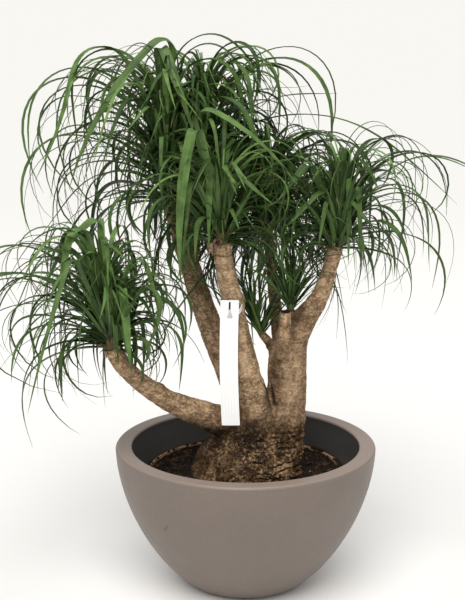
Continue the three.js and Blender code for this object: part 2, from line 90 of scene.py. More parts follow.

# %% [markdown]
# ## One helper for all meshes
# Leaves and bark have hundreds of thousands of corners. Adding them one at a time is slow, so
# this helper takes whole arrays: the points, the faces with four corners and the faces with
# three. Each piece gets its named materials, and is then tied to the frame: it rides on the one
# body of the plant and stands in for a solid of the frame.

# %% Mesh helpers
def mesh_object(name, points, quads=(), triangles=()):
    quads = np.asarray(quads, dtype=np.int32).reshape(-1, 4)
    triangles = np.asarray(triangles, dtype=np.int32).reshape(-1, 3)
    corners = np.concatenate([quads.ravel(), triangles.ravel()])
    sizes = np.concatenate([np.full(len(quads), 4), np.full(len(triangles), 3)])
    starts = np.concatenate([[0], np.cumsum(sizes)[:-1]])
    mesh = bpy.data.meshes.new(name)
    mesh.vertices.add(len(points))
    mesh.vertices.foreach_set("co", (np.asarray(points, dtype=np.float64) * MM).ravel())
    mesh.loops.add(len(corners))
    mesh.loops.foreach_set("vertex_index", corners)
    mesh.polygons.add(len(sizes))
    mesh.polygons.foreach_set("loop_start", starts.astype(np.int32))
    mesh.polygons.foreach_set("use_smooth", np.full(len(sizes), True))
    mesh.update(calc_edges=True)
    mesh.validate()
    made = bpy.data.objects.new(name, mesh)
    bpy.context.scene.collection.objects.link(made)
    return made


def read(piece, what):
    """Three numbers for each point of a piece: "co" for places in metres, or "normal"."""
    flat = np.empty(len(piece.data.vertices) * 3)
    piece.data.vertices.foreach_get(what, flat)
    return flat.reshape(-1, 3)


def points_of(piece):
    return read(piece, "co") / MM


def place_points(piece, places):
    piece.data.vertices.foreach_set("co", (places * MM).ravel())
    piece.data.update()


def store(piece, name, values):
    """Keeps one number for each point, which the piece's material can read."""
    attribute = piece.data.attributes.new(name, "FLOAT", "POINT")
    attribute.data.foreach_set("value", np.asarray(values, dtype=np.float32).ravel())


def apply_modifiers(piece):
    graph = bpy.context.evaluated_depsgraph_get()
    graph.update()
    made = bpy.data.meshes.new_from_object(piece.evaluated_get(graph))
    piece.modifiers.clear()
    old = piece.data
    piece.data = made
    bpy.data.meshes.remove(old)


def dress(piece, materials, face_materials=None):
    for material in materials:
        piece.data.materials.append(material)
    if face_materials is not None:
        numbers = np.asarray(face_materials, dtype=np.int32)
        piece.data.polygons.foreach_set("material_index", numbers)


def settle(piece, solid):
    """Ties a finished piece to the frame."""
    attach(piece, BODY)
    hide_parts(solid)
    triangles = sum(len(face.vertices) - 2 for face in piece.data.polygons)
    print(piece.name, "has", triangles, "triangles")

# %% [markdown]
# ## Closed skins
# Nearly every form here is a row of rings with the same number of points: a bowl, a root, a
# tongue of plastic. One helper joins the rings and closes both ends. Turning an outline about
# the upright axis is the same thing with round rings.

# %% Skins over rings
def circle_of(sides):
    angles = 2 * math.pi * np.arange(sides) / sides
    return np.column_stack([np.cos(angles), np.sin(angles)])


def skin(rings):
    """Joins rings that have the same number of points, and closes both ends with a fan."""
    rings = np.asarray(rings)
    count, sides = rings.shape[:2]
    here = np.arange(sides)
    after = (here + 1) % sides
    low = np.arange(count - 1)[:, None] * sides
    high = low + sides
    quads = np.stack([low + here, low + after, high + after, high + here], axis=-1).reshape(-1, 4)
    points = np.concatenate([rings.reshape(-1, 3), [rings[0].mean(0), rings[-1].mean(0)]])
    last = (count - 1) * sides
    first_middle, last_middle = len(points) - 2, len(points) - 1
    triangles = np.concatenate([
        np.column_stack([np.full(sides, first_middle), after, here]),
        np.column_stack([np.full(sides, last_middle), last + here, last + after]),
    ])
    return points, quads, triangles


def turned(outline, sides):
    """A closed skin from an outline of radius and height, turned about the upright axis."""
    circle = circle_of(sides)
    rings = [np.column_stack([radius * circle, np.full(sides, height)]) for radius, height in outline]
    points, quads, triangles = skin(rings)
    points[-2:, :2] = 0  # the middles of both ends lie on the axis
    return points, quads, triangles


def walls(here, after):
    """Faces between rings of point numbers, each of which closes on itself."""
    corners = [here, after, np.roll(after, -1, axis=-1), np.roll(here, -1, axis=-1)]
    return np.stack(corners, axis=-1).reshape(-1, 4)


def arc(centre, radius, first, last, count):
    """Points of a rounded corner, from one angle to another in degrees."""
    angles = np.radians(np.linspace(first, last, count))
    return [(centre[0] + radius * math.cos(a), centre[1] + radius * math.sin(a)) for a in angles]


def joined(parts):
    """One set of points and faces from many, with the number of the part that each point is in."""
    points, quads, triangles, owners = [], [], [], []
    count = 0
    for number, (part_points, part_quads, part_triangles) in enumerate(parts):
        points.append(part_points)
        quads.append(np.asarray(part_quads, dtype=int).reshape(-1, 4) + count)
        triangles.append(np.asarray(part_triangles, dtype=int).reshape(-1, 3) + count)
        owners.append(np.full(len(part_points), number))
        count += len(part_points)
    return [np.concatenate(group) for group in (points, quads, triangles, owners)]

# %% [markdown]
# ## Repeatable chance
# Nothing here is drawn by a random generator whose numbers could change. Draw number k for the
# thing numbered i is the fraction left by a large sine, the same in every run. The solids use
# this rule too, so a leaf here starts from the same numbers as the leaf in the frame.

# %% Draws
FAR_AWAY = 1e6  # where a search for the nearest thing starts


def draw(i, k):
    wave = np.sin(np.asarray(i) * 12.9898 + k * 78.233) * 43758.5453
    return wave - np.floor(wave)


def spread(i, k, size):
    return (2 * draw(i, k) - 1) * size


def mix(low, high, share):
    return low + (high - low) * share


def smooth_step(value, low, high):
    share = np.clip((value - low) / (high - low), 0, 1)
    return share * share * (3 - 2 * share)


print("first draws:", draw(1, 1).round(4), draw(2, 1).round(4))

# %% [markdown]
# ## A painter
# A material is a small network. The painter makes one node at a time and fills its inputs: an
# input that is given as another node's output is linked, and one that is given as a number or
# a colour is set. Most colours are then built as layers, each laid over the last by its mask.

# %% Painter
class Painter:
    """Builds the network of one tree."""

    def __init__(self, tree):
        self.tree = tree

    def fill(self, socket, value):
        if isinstance(value, bpy.types.NodeSocket):
            self.tree.links.new(value, socket)
        else:
            socket.default_value = value

    def node(self, kind, inputs, **settings):
        """Makes a node, with its inputs by name or number, and gives back its outputs."""
        made = self.tree.nodes.new("ShaderNode" + kind)
        for name, value in settings.items():
            setattr(made, name, value)
        for key, value in inputs.items():
            self.fill(made.inputs[key], value)
        return made.outputs

    def maths(self, operation, first, second=0.0, clamp=False):
        return self.node("Math", {0: first, 1: second}, operation=operation, use_clamp=clamp)[0]

    def times(self, first, second, clamp=False):
        return self.maths("MULTIPLY", first, second, clamp)

    def ramp(self, value, low, high, start=0.0, end=1.0):
        """The value turned smoothly from start to end while it goes from low to high."""
        limits = {"Value": value, "From Min": low, "From Max": high, "To Min": start, "To Max": end}
        return self.node("MapRange", limits, interpolation_type="SMOOTHSTEP")["Result"]

    def place(self):
        return self.node("TexCoord", {})["Object"]

    def length(self, vector):
        return self.node("VectorMath", {0: vector}, operation="LENGTH")["Value"]

    def stored(self, name):
        return self.node("Attribute", {}, attribute_name=name)["Fac"]

    def blend(self, mask, below, above):
        return self.node("Mix", {0: mask, 6: below, 7: above}, data_type="RGBA")[2]

    def layers(self, colour, *masked):
        """Lays colours over the first one, each by its own mask."""
        for mask, above in masked:
            colour = self.blend(mask, colour, above)
        return colour

# %% [markdown]
# ## Effects that several materials share
# Two effects come up again and again on this object, so each is a shader group with named
# inputs, built once. Mottle is the cloudy unevenness of anything that was moulded or grown.
# Grain is a fine roughness that catches the light. Sizes go in as millimetres, which is easier
# to judge than a texture's scale.

# %% Mottle and grain
def new_group(name, numbers, result):
    tree = bpy.data.node_groups.new(name, "ShaderNodeTree")
    for label, value in numbers.items():
        socket = tree.interface.new_socket(name=label, in_out="INPUT", socket_type="NodeSocketFloat")
        socket.default_value = value
    tree.interface.new_socket(name=result, in_out="OUTPUT", socket_type="NodeSocketFloat")
    given = tree.nodes.new("NodeGroupInput").outputs
    end = tree.nodes.new("NodeGroupOutput").inputs[result]
    return Painter(tree), given, end


mottle_inputs = {"Size": 30, "Contrast": 1, "Flatten": 1, "Roughness": 0.6}
inside, given, end = new_group("mottle", mottle_inputs, "Mask")
squeeze = inside.node("CombineXYZ", {"X": 1.0, "Y": 1.0, "Z": given["Flatten"]})["Vector"]
clouds = inside.node("TexNoise", {
    "Vector": inside.node("VectorMath", {0: inside.place(), 1: squeeze}, operation="MULTIPLY")["Vector"],
    "Scale": inside.maths("DIVIDE", 1 / MM, given["Size"]),
    "Roughness": given["Roughness"],
    "Detail": 5.0,
})["Fac"]
stretched = inside.times(inside.maths("SUBTRACT", clouds, 0.5), given["Contrast"])
inside.fill(end, inside.maths("ADD", stretched, 0.5, clamp=True))
MOTTLE = inside.tree

inside, given, end = new_group("grain", {"Size": 1}, "Height")
inside.fill(end, inside.node("TexNoise", {
    "Vector": inside.place(),
    "Scale": inside.maths("DIVIDE", 1 / MM, given["Size"]),
    "Roughness": 0.7,
    "Detail": 3.0,
})["Fac"])
GRAIN = inside.tree


# %% A painter for one material
class Material(Painter):
    """A material's network, which can use the shared effects and ends in one finish."""

    def __init__(self, name):
        self.made = bpy.data.materials.new(name)
        self.made.use_nodes = True
        super().__init__(self.made.node_tree)
        self.tree.nodes.clear()

    def mottle(self, size, contrast, flatten=1.0, roughness=0.6):
        numbers = {"Size": size, "Contrast": contrast, "Flatten": flatten, "Roughness": roughness}
        return self.node("Group", numbers, node_tree=MOTTLE)["Mask"]

    def grain(self, size):
        return self.node("Group", {"Size": size}, node_tree=GRAIN)["Height"]

    def height(self):
        return self.node("SeparateXYZ", {"Vector": self.place()})["Z"]

    def spot(self, centre, size, turn, edge=0.35):
        """A soft oval spot at a fixed place on the object, in millimetres and degrees."""
        moved = self.node("Mapping", {
            "Vector": self.place(),
            "Location": [value * MM for value in centre],
            "Rotation": [math.radians(value) for value in turn],
            "Scale": [value * MM for value in size],
        }, vector_type="TEXTURE")["Vector"]
        return self.ramp(self.length(moved), 1 - edge, 1 + edge, 1.0, 0.0)

    def finish(self, colour, roughness, relief=None, depth=0.0, specular=0.5):
        """Ends the network. The relief's depth is in millimetres."""
        inputs = {"Base Color": colour, "Roughness": roughness, "Specular IOR Level": specular}
        if relief is not None:
            bump = {"Height": relief, "Distance": depth * MM, "Strength": 1.0}
            inputs["Normal"] = self.node("Bump", bump)["Normal"]
        shader = self.node("BsdfPrincipled", inputs)
        self.node("OutputMaterial", {"Surface": shader["BSDF"]})
        return self.made


print("shared effects:", MOTTLE.name, "and", GRAIN.name)

# %% [markdown]
# ## The bowl
# The real one is moulded plastic with a matt taupe skin outside and over the rim, and a dark
# charcoal wall inside. Its side swells quickly from a small base and stands almost upright at
# the rim. One power curve gives that side, so no list of traced points is needed. The solid in
# the frame has 44 flat sides, and this one has 192, which hides them. Rounded corners are short
# arcs of points, so that the edges catch the light as moulded ones do.

# %% Shape the bowl
BOWL = {
    "rim_radius": 200, "base_radius": 80, "height": 222, "side_curve": 1.8, "base_curve": 1.31,
    "rim_width": 25, "outer_round": 5, "inner_round": 3, "floor": 24,
    "base_ring": 40, "floor_ring": 60, "side_rings": 46, "wall_rings": 30,
}
BOWL_WALL = [(162, 176), (148, 128), (129, 80), (107, 42), (93, 24)]
BOWL_SIDES = 192


def bowl_radius(height):
    rise = 1 - height / BOWL["height"]
    swell = (1 - rise ** BOWL["side_curve"]) ** (1 / BOWL["base_curve"])
    return BOWL["base_radius"] + (BOWL["rim_radius"] - BOWL["base_radius"]) * swell


def smooth_wall(points, count):
    """The inner wall as an even curve through its few driving points."""
    heights = np.linspace(points[0][1], points[-1][1], count)
    known = np.array(points[::-1])
    return [(np.interp(h, known[:, 1], known[:, 0]), h) for h in heights]


def bowl_outline():
    """Radius and height of each ring, and the number of the ring where the dark wall starts."""
    top, rim = BOWL["height"], BOWL["rim_radius"]
    outer, inner = BOWL["outer_round"], BOWL["inner_round"]
    inside = rim - BOWL["rim_width"]
    outline = [(BOWL["base_ring"], 0)]
    outline += [(bowl_radius(h), h) for h in (top - outer) * np.linspace(0, 1, BOWL["side_rings"]) ** 1.6]
    outline += arc((rim - outer, top - outer), outer, 8, 90, 8)
    outline += [(rim - outer - 5, top), (rim - outer - 10, top), (inside + inner + 3, top)]
    outline += arc((inside + inner, top - inner), inner, 90, 180, 7)
    dark_from = len(outline) - 1
    outline += smooth_wall([(inside - 1.5, top - 10), *BOWL_WALL], BOWL["wall_rings"])
    outline.append((BOWL["floor_ring"], BOWL["floor"]))
    return outline, dark_from


outline, dark_from = bowl_outline()
points, quads, triangles = turned(outline, BOWL_SIDES)
bowl = mesh_object("bowl_body", points, quads, triangles)
print("bowl is", 2 * points[:, 0].max(), "mm across and", points[:, 2].max(), "mm high")

# %% [markdown]
# ## The bowl's finish
# The taupe is not one even colour: there are faint cool and warm clouds in it, a very fine sandy
# grain, a few small specks, and one short dark scuff where something rubbed against it. The
# clouds and the grain are the shared groups. The scuff is a stretched spot at a fixed place on
# the bowl, so it turns with the bowl when the view moves round.

# %% Paint the bowl
TAUPE = (0.155, 0.116, 0.094, 1)
TAUPE_COOL = (0.143, 0.115, 0.095, 1)
TAUPE_PALE = (0.225, 0.180, 0.155, 1)
# painted light: the rim's flat top is paler, as it faces the light from above
RIM_TOP_PAINTED_LIGHT = (0.245, 0.190, 0.157, 1)
SCUFF = (0.06, 0.045, 0.04, 1)
CHARCOAL = (0.026, 0.024, 0.021, 1)
CHARCOAL_DUSTY = (0.060, 0.050, 0.040, 1)
RIM_LIGHT_HEIGHTS = (0.2196, 0.2216)  # heights in metres between which the rim's paler colour sets in
DUST_LINE = (0.165, 0.205)  # heights in metres between which the dust on the wall thins out


def bowl_outside():
    paint = Material("taupe_plastic")
    clouds = paint.mottle(95.0, 2.4)
    scuff = paint.spot((-115, -139, 139), (8, 1.5, 9), (-40, 0, -130))
    streaks = paint.ramp(paint.mottle(1.6, 3.0), 0.1, 0.6, 0.4, 1.0)
    colour = paint.layers(
        TAUPE,
        (clouds, TAUPE_COOL),
        (paint.ramp(paint.mottle(2.2, 7.0), 0.86, 1.0, 0.0, 0.25), TAUPE_PALE),
        (paint.times(scuff, streaks), SCUFF),
        # painted light: the flat top of the rim is paler, as it faces the light from above
        (paint.ramp(paint.height(), *RIM_LIGHT_HEIGHTS), RIM_TOP_PAINTED_LIGHT),
    )
    roughness = paint.ramp(clouds, 0.0, 1.0, 0.44, 0.56)
    return paint.finish(colour, roughness, paint.grain(0.9), 0.12, specular=0.7)


def bowl_inside():
    paint = Material("charcoal_plastic")
    dusty = paint.times(paint.ramp(paint.height(), *DUST_LINE, 1.0, 0.0), paint.mottle(14.0, 3.5))
    roughness = paint.ramp(dusty, 0.0, 1.0, 0.5, 0.85)
    return paint.finish(paint.blend(dusty, CHARCOAL, CHARCOAL_DUSTY), roughness, paint.grain(1.1), 0.15)


ring_of_face = np.concatenate([np.arange(len(outline) - 1), [0, len(outline)]]).repeat(BOWL_SIDES)
dress(bowl, [bowl_outside(), bowl_inside()], ring_of_face >= dark_from)
settle(bowl, "bowl")

# %% [markdown]
# ## The grow pot
# Inside the bowl stands the thin terracotta-coloured pot that the palm was sold in. Only parts
# of its rim show between the peat and the bowl. It has a banded rim, as thin pots do for
# stiffness, and round drains in its floor, which are cut with a Boolean and then applied.

# %% Shape the grow pot
GROW_POT = {
    "rim_radius": 151, "rim_top": 180, "rim_drop": 20, "rim_step": 6, "foot_radius": 88, "foot_round": 4,
    "wall": 3, "base": 24.3, "drains": 5, "drain_radius": 5, "drain_circle": 55, "drill_length": 20,
}
POT_SIDES = 144


def grow_pot_outline():
    rim, top, wall = GROW_POT["rim_radius"], GROW_POT["rim_top"], GROW_POT["wall"]
    band_foot = top - GROW_POT["rim_drop"]
    neck = rim - GROW_POT["rim_step"]
    foot, base, edge = GROW_POT["foot_radius"], GROW_POT["base"], GROW_POT["foot_round"]
    lip = wall / 2
    outline = [(foot - edge, base)]
    outline += arc((foot - edge, base + edge), edge, -90, 0, 5)
    outline += [(neck - 1, band_foot - 8), (neck, band_foot - 6), (rim - 1, band_foot - 1)]
    outline += [(rim, band_foot), (rim, top - 6), (rim - 0.6, top - 5), (rim - 0.6, top - 4)]
    outline += arc((rim - lip, top - lip), lip, 0, 180, 9)
    outline += [(rim - wall, band_foot), (neck - wall, band_foot - 6)]
    outline += [(foot - wall, base + wall + 2), (foot - wall - 3, base + wall)]
    return outline


def cut_drains(pot):
    for i in range(GROW_POT["drains"]):
        angle = 2 * math.pi * i / GROW_POT["drains"]
        x, y = [GROW_POT["drain_circle"] * wave(angle) * MM for wave in (math.cos, math.sin)]
        bpy.ops.mesh.primitive_cylinder_add(
            vertices=24, radius=GROW_POT["drain_radius"] * MM, depth=GROW_POT["drill_length"] * MM,
            location=(x, y, GROW_POT["base"] * MM),
        )
        drill = bpy.context.object
        cut = pot.modifiers.new("drain", "BOOLEAN")
        cut.operation = "DIFFERENCE"
        cut.object = drill
        apply_modifiers(pot)
        bpy.data.objects.remove(drill)


grow_pot = mesh_object("grow_pot_body", *turned(grow_pot_outline(), POT_SIDES))
cut_drains(grow_pot)
print("drains cut:", GROW_POT["drains"])

# %% Paint the grow pot
TERRACOTTA = (0.27, 0.145, 0.080, 1)
TERRACOTTA_WORN = (0.42, 0.26, 0.155, 1)
PEAT_SMEAR = (0.05, 0.03, 0.02, 1)


def terracotta_plastic():
    paint = Material("terracotta_plastic")
    smears = paint.mottle(9.0, 5.0)
    colour = paint.layers(
        TERRACOTTA,
        (paint.mottle(22.0, 2.5), TERRACOTTA_WORN),
        (paint.ramp(smears, 0.8, 1.0, 0.0, 0.8), PEAT_SMEAR),
    )
    return paint.finish(colour, paint.ramp(smears, 0.5, 1.0, 0.5, 0.9), paint.grain(0.7), 0.1)


dress(grow_pot, [terracotta_plastic()])
settle(grow_pot, "grow_pot")

# %% [markdown]
# ## The trunk
# This is the hardest form on the plant. It is one grown piece: a corky foot as wide as two
# hands, stems that melt into it, a low branch, a sawn stub and small forks. Stacking tubes would
# show a seam at each fork. So the solid from the frame is copied, its skin is rebuilt as an even
# net of small squares with Voxel Remesh, and that net is smoothed, which fillets every fork.
# Then each point moves in or out along its normal by a relief worked out from where it is.

# %% Even out the trunk's skin
TRUNK_VOXEL = 1.9
SMOOTHING_STEPS = 28
MOVE_IN = 0.62  # share of the way to the middle of the neighbours
MOVE_BACK = -0.5  # moving part of the way back keeps the stems from growing thin


def rounded(piece):
    """The points, moved towards the middle of their neighbours and part of the way back in turn."""
    mesh = piece.data
    edges = np.empty(len(mesh.edges) * 2, dtype=np.int32)
    mesh.edges.foreach_get("vertices", edges)
    first, second = edges.reshape(-1, 2).T
    places = points_of(piece)
    count = len(places)
    neighbours = np.bincount(first, minlength=count) + np.bincount(second, minlength=count)
    for step in range(SMOOTHING_STEPS):
        total = np.zeros_like(places)
        for axis in range(3):
            total[:, axis] += np.bincount(first, places[second, axis], count)
            total[:, axis] += np.bincount(second, places[first, axis], count)
        places += (MOVE_BACK if step % 2 else MOVE_IN) * (total / neighbours[:, None] - places)
    return places


trunk = bpy.data.objects.new("trunk_bark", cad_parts["trunk"].data.copy())
trunk.data.materials.clear()
bpy.context.scene.collection.objects.link(trunk)
remesh = trunk.modifiers.new("even_skin", "REMESH")
remesh.mode = "VOXEL"
remesh.voxel_size = TRUNK_VOXEL * MM
apply_modifiers(trunk)
place_points(trunk, rounded(trunk))
print("trunk skin has", len(trunk.data.vertices), "points")

# %% [markdown]
# ## Where the stems run
# Two things need to know where the stems run: the streaks of the bark, which follow them, and
# the leaves, which have to hang clear of them. The stems are rounded bars between a few places,
# each with the bark's radius there, in the same numbers that the solids were made from.

# %% Stems
LIMBS = {
    "middle": [
        (12, -14, 222, 30), (15, -20, 283, 26), (0, -24, 338, 24), (-12, -27, 390, 21.5),
        (-21, -30, 456, 16), (-31, -33, 502, 14), (-37, -37, 543, 15),
    ],
    "back_left": [
        (-4, 2, 236, 28), (-18, 20, 309, 20.5), (-39, 40, 358, 19.5), (-64, 58, 421, 18.5),
        (-81, 68, 471, 16.5), (-100, 75, 534, 15), (-114, 79, 584, 15),
    ],
    "left": [
        (-18, -10, 246, 26), (-51, -25, 272, 23), (-86, -44, 290, 18.5), (-128, -62, 316, 15.5),
        (-160, -72, 344, 14), (-184, -79, 372, 13.5), (-196, -83, 396, 14.5),
    ],
    "right": [
        (50, -2, 200, 38), (57, 4, 250, 34), (63, 8, 306, 31), (64, 8, 350, 31), (68, 4, 385, 29),
        (82, -3, 411, 22), (98, -9, 434, 17), (113, -15, 460, 14), (126, -20, 508, 11.5),
        (132, -22, 532, 12.5),
    ],
    "back": [(62, 16, 350, 18), (49, 32, 404, 11), (43, 46, 455, 9), (38, 56, 507, 8.5), (32, 62, 552, 10)],
    "top": [(-86, 70, 486, 13), (-80, 80, 530, 12), (-74, 93, 586, 11), (-70, 100, 640, 11.5)],
    "stub": [(57, -14, 368, 15), (57, -30, 390, 11.5), (58, -37, 416, 9.6), (58.5, -41, 441, 9.2)],
    "upper_sprout": [(70, -2, 400, 10), (68, -10, 424, 7.5), (67, -13, 437, 7)],
    "lower_sprout": [(48, -2, 372, 10), (34, -6, 386, 7.5), (24, -10, 399, 6.5)],
}


def beside_line(places, start, line):
    """How far along a line each place is, as a share of it, and which way it lies off it."""
    share = np.clip((places - start) @ line / (line @ line), 0, 1)
    return share, places - start - share[..., None] * line


print("stems:", len(LIMBS))

# %% [markdown]
# ## Bark relief
# The foot is lumpy and finely pitted. Low on the right, furrows lie across it, where the trunk
# has spread under its own weight. The stems carry fine rings, where leaves once sat, and streaks
# that run along them. Here and there a knuckle stands out where a shoot was lost. Each is a sum
# of Blender's noise at its own size. The furrows that lie across the foot follow a wave that
# wanders up and down, and the thin rings and streaks are where a noise passes through nought.
# What the colour needs later is kept on the points.

# %% Places on the bark
SOIL_LINE = 176
FOOT_TOP = 300
FOOT_FADE = 236  # from here up to its top the foot's cork turns into the stems' bark
GROOVE = ((24, 346), (46, 290))  # sideways place and height of both ends, on the front
# The hollow below the label: its pits are painted darker there, as painted shade under the label
PITS_IN_SHADE = ((8, -50, 222), 36, 1, 1)  # written like the places below
RING_MARK = (-34, -35, 525)  # a thin dark line round the middle stem
FAIR_PLACES = [
    # place, reach, upright stretch and strength of the palest bark
    ((-22, -32, 470), 48, 2.2, 0.5),
    ((72, -22, 335), 26, 2.4, 0.8),
    ((0, -45, 361), 15, 1.8, 1.0),
    ((-13, -78, 227), 24, 1.4, 1.0),
    ((-44, -66, 219), 22, 1.0, 0.9),
    ((60, -56, 199), 26, 0.6, 0.9),
]
DARK_AND_SHADED_PLACES = [
    # place, reach, upright stretch and strength of the darkest bark, partly dark bark and partly painted
    # shade under the label, by the sprouts, near the fork and in the groove
    ((38, -18, 410), 20, 1.4, 1.0),
    ((78, -16, 430), 26, 1.0, 1.0),
    ((-54, -50, 240), 34, 0.9, 1.0),
    ((-22, -56, 256), 30, 0.6, 1.0),
    ((8, -58, 252), 42, 0.8, 1.0),
    ((42, -20, 340), 16, 3.0, 0.6),
    ((28, -70, 220), 26, 0.7, 0.7),
    ((38, -30, 306), 18, 2.0, 1.0),
    ((34, -8, 384), 14, 1.0, 1.0),
]
KNUCKLES = [
    # place, reach, upright stretch and height of each swelling
    ((-128, -68, 330), 17, 1, 4.5),
    ((-104, -52, 308), 13, 1, 3.5),
    ((-90, -56, 284), 14, 1, 3.0),
    ((-5, -34, 458), 20, 1, 4.5),
    ((-4, -42, 392), 15, 1, 2.0),
    ((62, -24, 352), 26, 1, 4.5),
    ((30, 2, 372), 13, 1, 4.0),
    ((96, -16, 452), 12, 1, 2.5),
    ((-60, 42, 420), 14, 1, 2.5),
    ((66, -22, 262), 26, 1, 4.0),
    ((20, -46, 250), 24, 1, 3.5),
    ((-40, -58, 214), 24, 1, 3.0),
    ((-76, -22, 184), 22, 1, 4.0),
    ((34, -68, 196), 24, 1, 2.5),
]
FOLD_HEIGHT = 8.5  # from one lying furrow to the next
CUT_DEPTH = 2.8
LUMPS = {"size": 30, "height": 3.6}
KNOBS = {"size": 13, "height": 1.7}
PITS_IN_SHADE_CORE = 8 / 36  # share of the pitted hollow's reach over which it is at its strongest
print("places on the bark:", len(FAIR_PLACES) + len(DARK_AND_SHADED_PLACES) + len(KNUCKLES))


# %% Noise of several kinds
def noise_at(places, size, flatten=1.0, shift=0.0):
    """Blender's noise, about -1 to 1, with lumps of that size, and lower ones where flattened."""
    steps = places / np.array([size, size, size / flatten]) + shift
    return np.array([noise.noise(Vector(step)) for step in steps])


def rugged_at(places, size, flatten, shift):
    """Ridges and hollows of many sizes together, from 0 in the hollows to 1 on the ridges."""
    steps = places / np.array([size, size, size / flatten]) + shift
    heights = np.array([noise.ridged_multi_fractal(Vector(step), 0.8, 2.1, 5, 1.0, 2.0) for step in steps])
    return np.clip(0.5 + (heights - heights.mean()) / (4 * heights.std()), 0, 1)


def streaks_at(places, across, along):
    """Noise drawn out along the nearest stem, in streaks about that wide and that long."""
    nearest = np.full(len(places), FAR_AWAY)
    steps = np.zeros_like(places)
    for number, points in enumerate(LIMBS.values()):
        run = 500.0 * number  # far enough on that no stem repeats another's streaks
        for first, second in zip(points, points[1:]):
            start, line = np.array(first[:3]), np.subtract(second[:3], first[:3])
            length = np.linalg.norm(line)
            share, offset = beside_line(places, start, line)
            gap = np.linalg.norm(offset, axis=1) - mix(first[3], second[3], share)
            here = gap < nearest
            nearest[here] = gap[here]
            stepped = offset / across + (run + share * length)[:, None] / along * line / length
            steps[here] = stepped[here]
            run += length
    return noise_at(steps, 1.0) + 0.5 * noise_at(2.3 * steps, 1.0, shift=3.3)


def near_any(places, spots, core=0.3):
    """Each spot's strength over that share of its reach, falling smoothly to nought at its reach."""
    nearness = np.zeros(len(places))
    for centre, reach, stretch, strength in spots:
        away = np.linalg.norm((places - np.array(centre)) / [1, 1, stretch], axis=1)
        nearness = np.maximum(nearness, strength * (1 - smooth_step(away, core * reach, reach)))
    return nearness


def furrows(value, width):
    """One along the lines where a noise is nought, falling to nought at that width."""
    return np.clip(1 - np.abs(value) / width, 0, 1)


# %% Where the bark is cut into
def groove_at(places):
    """The deep groove between the middle stem and the right one."""
    start, line = np.array(GROOVE[0]), np.subtract(GROOVE[1], GROOVE[0])
    spots = places[:, [0, 2]] + 3 * noise_at(places, 12)[:, None]
    away = np.linalg.norm(beside_line(spots, start, line)[1], axis=1)
    return 0.6 * (1 - smooth_step(away, 0.5, 6.0)) * (places[:, 1] < -5)


def ring_mark_at(places):
    away = np.linalg.norm(places - np.array(RING_MARK), axis=1)
    lift = np.abs(places[:, 2] - RING_MARK[2] - noise_at(places, 14))
    return 0.6 * np.clip(1 - lift / 1.6, 0, 1) * (away < 24)


def lying_furrows_at(places):
    """Furrows across the foot, low on the right, which follow a wave that wanders up and down."""
    height = places[:, 2]
    wander = height + 7 * noise_at(places, 42, 2.0, 3.1) + 1.6 * noise_at(places, 9)
    broken = smooth_step(noise_at(places, 24, 2.5, 6.2), -0.25, 0.2)
    lying = broken * np.clip(2 * np.sin(2 * math.pi * wander / FOLD_HEIGHT) - 1, 0, 1)
    lower = 1 - smooth_step(height, 290, 400)
    low_down = 1 - smooth_step(height, 228, 266)
    right_side = smooth_step(places[:, 0], -6, 24)
    return lying * (0.08 * lower + 0.8 * low_down * right_side)


# %% Carve the bark
def bark_relief(places):
    """How far each point moves along its normal, and the facts that the colour needs."""
    height = places[:, 2]
    foot = 1 - smooth_step(height, FOOT_FADE, FOOT_TOP)
    flank = 1 - smooth_step(places[:, 0], -66, -34)
    corky = foot * (1 - 0.5 * flank)
    lumps = (0.4 * foot + 0.6 * corky) * LUMPS["height"] * noise_at(places, LUMPS["size"])
    lumps += (0.35 + 0.9 * corky) * KNOBS["height"] * noise_at(places, KNOBS["size"], shift=7.7)
    rugged = (rugged_at(places, 10, 0.8, 5.3) - 0.5) * mix(0.6, 4.0, corky)
    raised = near_any(places, KNUCKLES, core=0)
    streaks = streaks_at(places, 5.0, 42.0)
    rings = furrows(noise_at(places, 46, 6.0, 1.7) + 0.25 * noise_at(places, 11), 0.08)
    cuts = np.maximum.reduce([
        lying_furrows_at(places),
        furrows(streaks, 0.08) * 0.25 * (1 - 0.6 * foot),
        rings * 0.3 * (1 - foot),
        groove_at(places),
        ring_mark_at(places),
    ])
    bare = smooth_step(height, SOIL_LINE - 8, SOIL_LINE)
    trunk_side = 0.3 * smooth_step(places[:, 0], 22, 44) * (1 - smooth_step(height, 370, 430))
    facts = {
        "furrow": bare * cuts,
        "streak": 0.5 + 0.8 * streaks,
        "corky": np.maximum(foot, trunk_side),
        "flank": foot * flank,
        "pits_in_shade": near_any(places, [PITS_IN_SHADE], PITS_IN_SHADE_CORE),
        "fair": near_any(places, FAIR_PLACES),
        "stain_and_shade": near_any(places, DARK_AND_SHADED_PLACES),
    }
    return bare * (lumps + rugged + raised - CUT_DEPTH * cuts), facts


places = points_of(trunk)
relief, facts = bark_relief(places)
place_points(trunk, places + read(trunk, "normal") * relief[:, None])
for name, values in facts.items():
    store(trunk, name, values)
print("bark stands out by", relief.max().round(1), "mm and in by", -relief.min().round(1), "mm")

# %% [markdown]
# ## The bark's colours
# Two finishes melt into each other. High on the stems the bark is tan, with brown streaks and a
# fine grain. The foot is darker cork, with pale flecks in some parts and dark pits in others,
# and most pits are in the hollow below the middle stem, where painted shade under the label
# darkens them further. Some patches are darker too, partly dark bark and partly painted shade,
# under the label, by the sprouts and in the groove. Furrows are nearly black, partly their own
# colour and partly painted shade in them. The sawn end of the stub is nearly black too, and its
# points carry a number of their own.

# %% Bark colours
STEM_TAN = (0.380, 0.250, 0.146, 1)
STEM_BROWN = (0.185, 0.115, 0.064, 1)
STEM_PALE = (0.600, 0.435, 0.275, 1)
CORK_TAN = (0.235, 0.136, 0.065, 1)
CORK_BROWN = (0.045, 0.026, 0.013, 1)
CORK_PALE = (0.560, 0.375, 0.215, 1)
BARK_DARK = (0.014, 0.009, 0.006, 1)


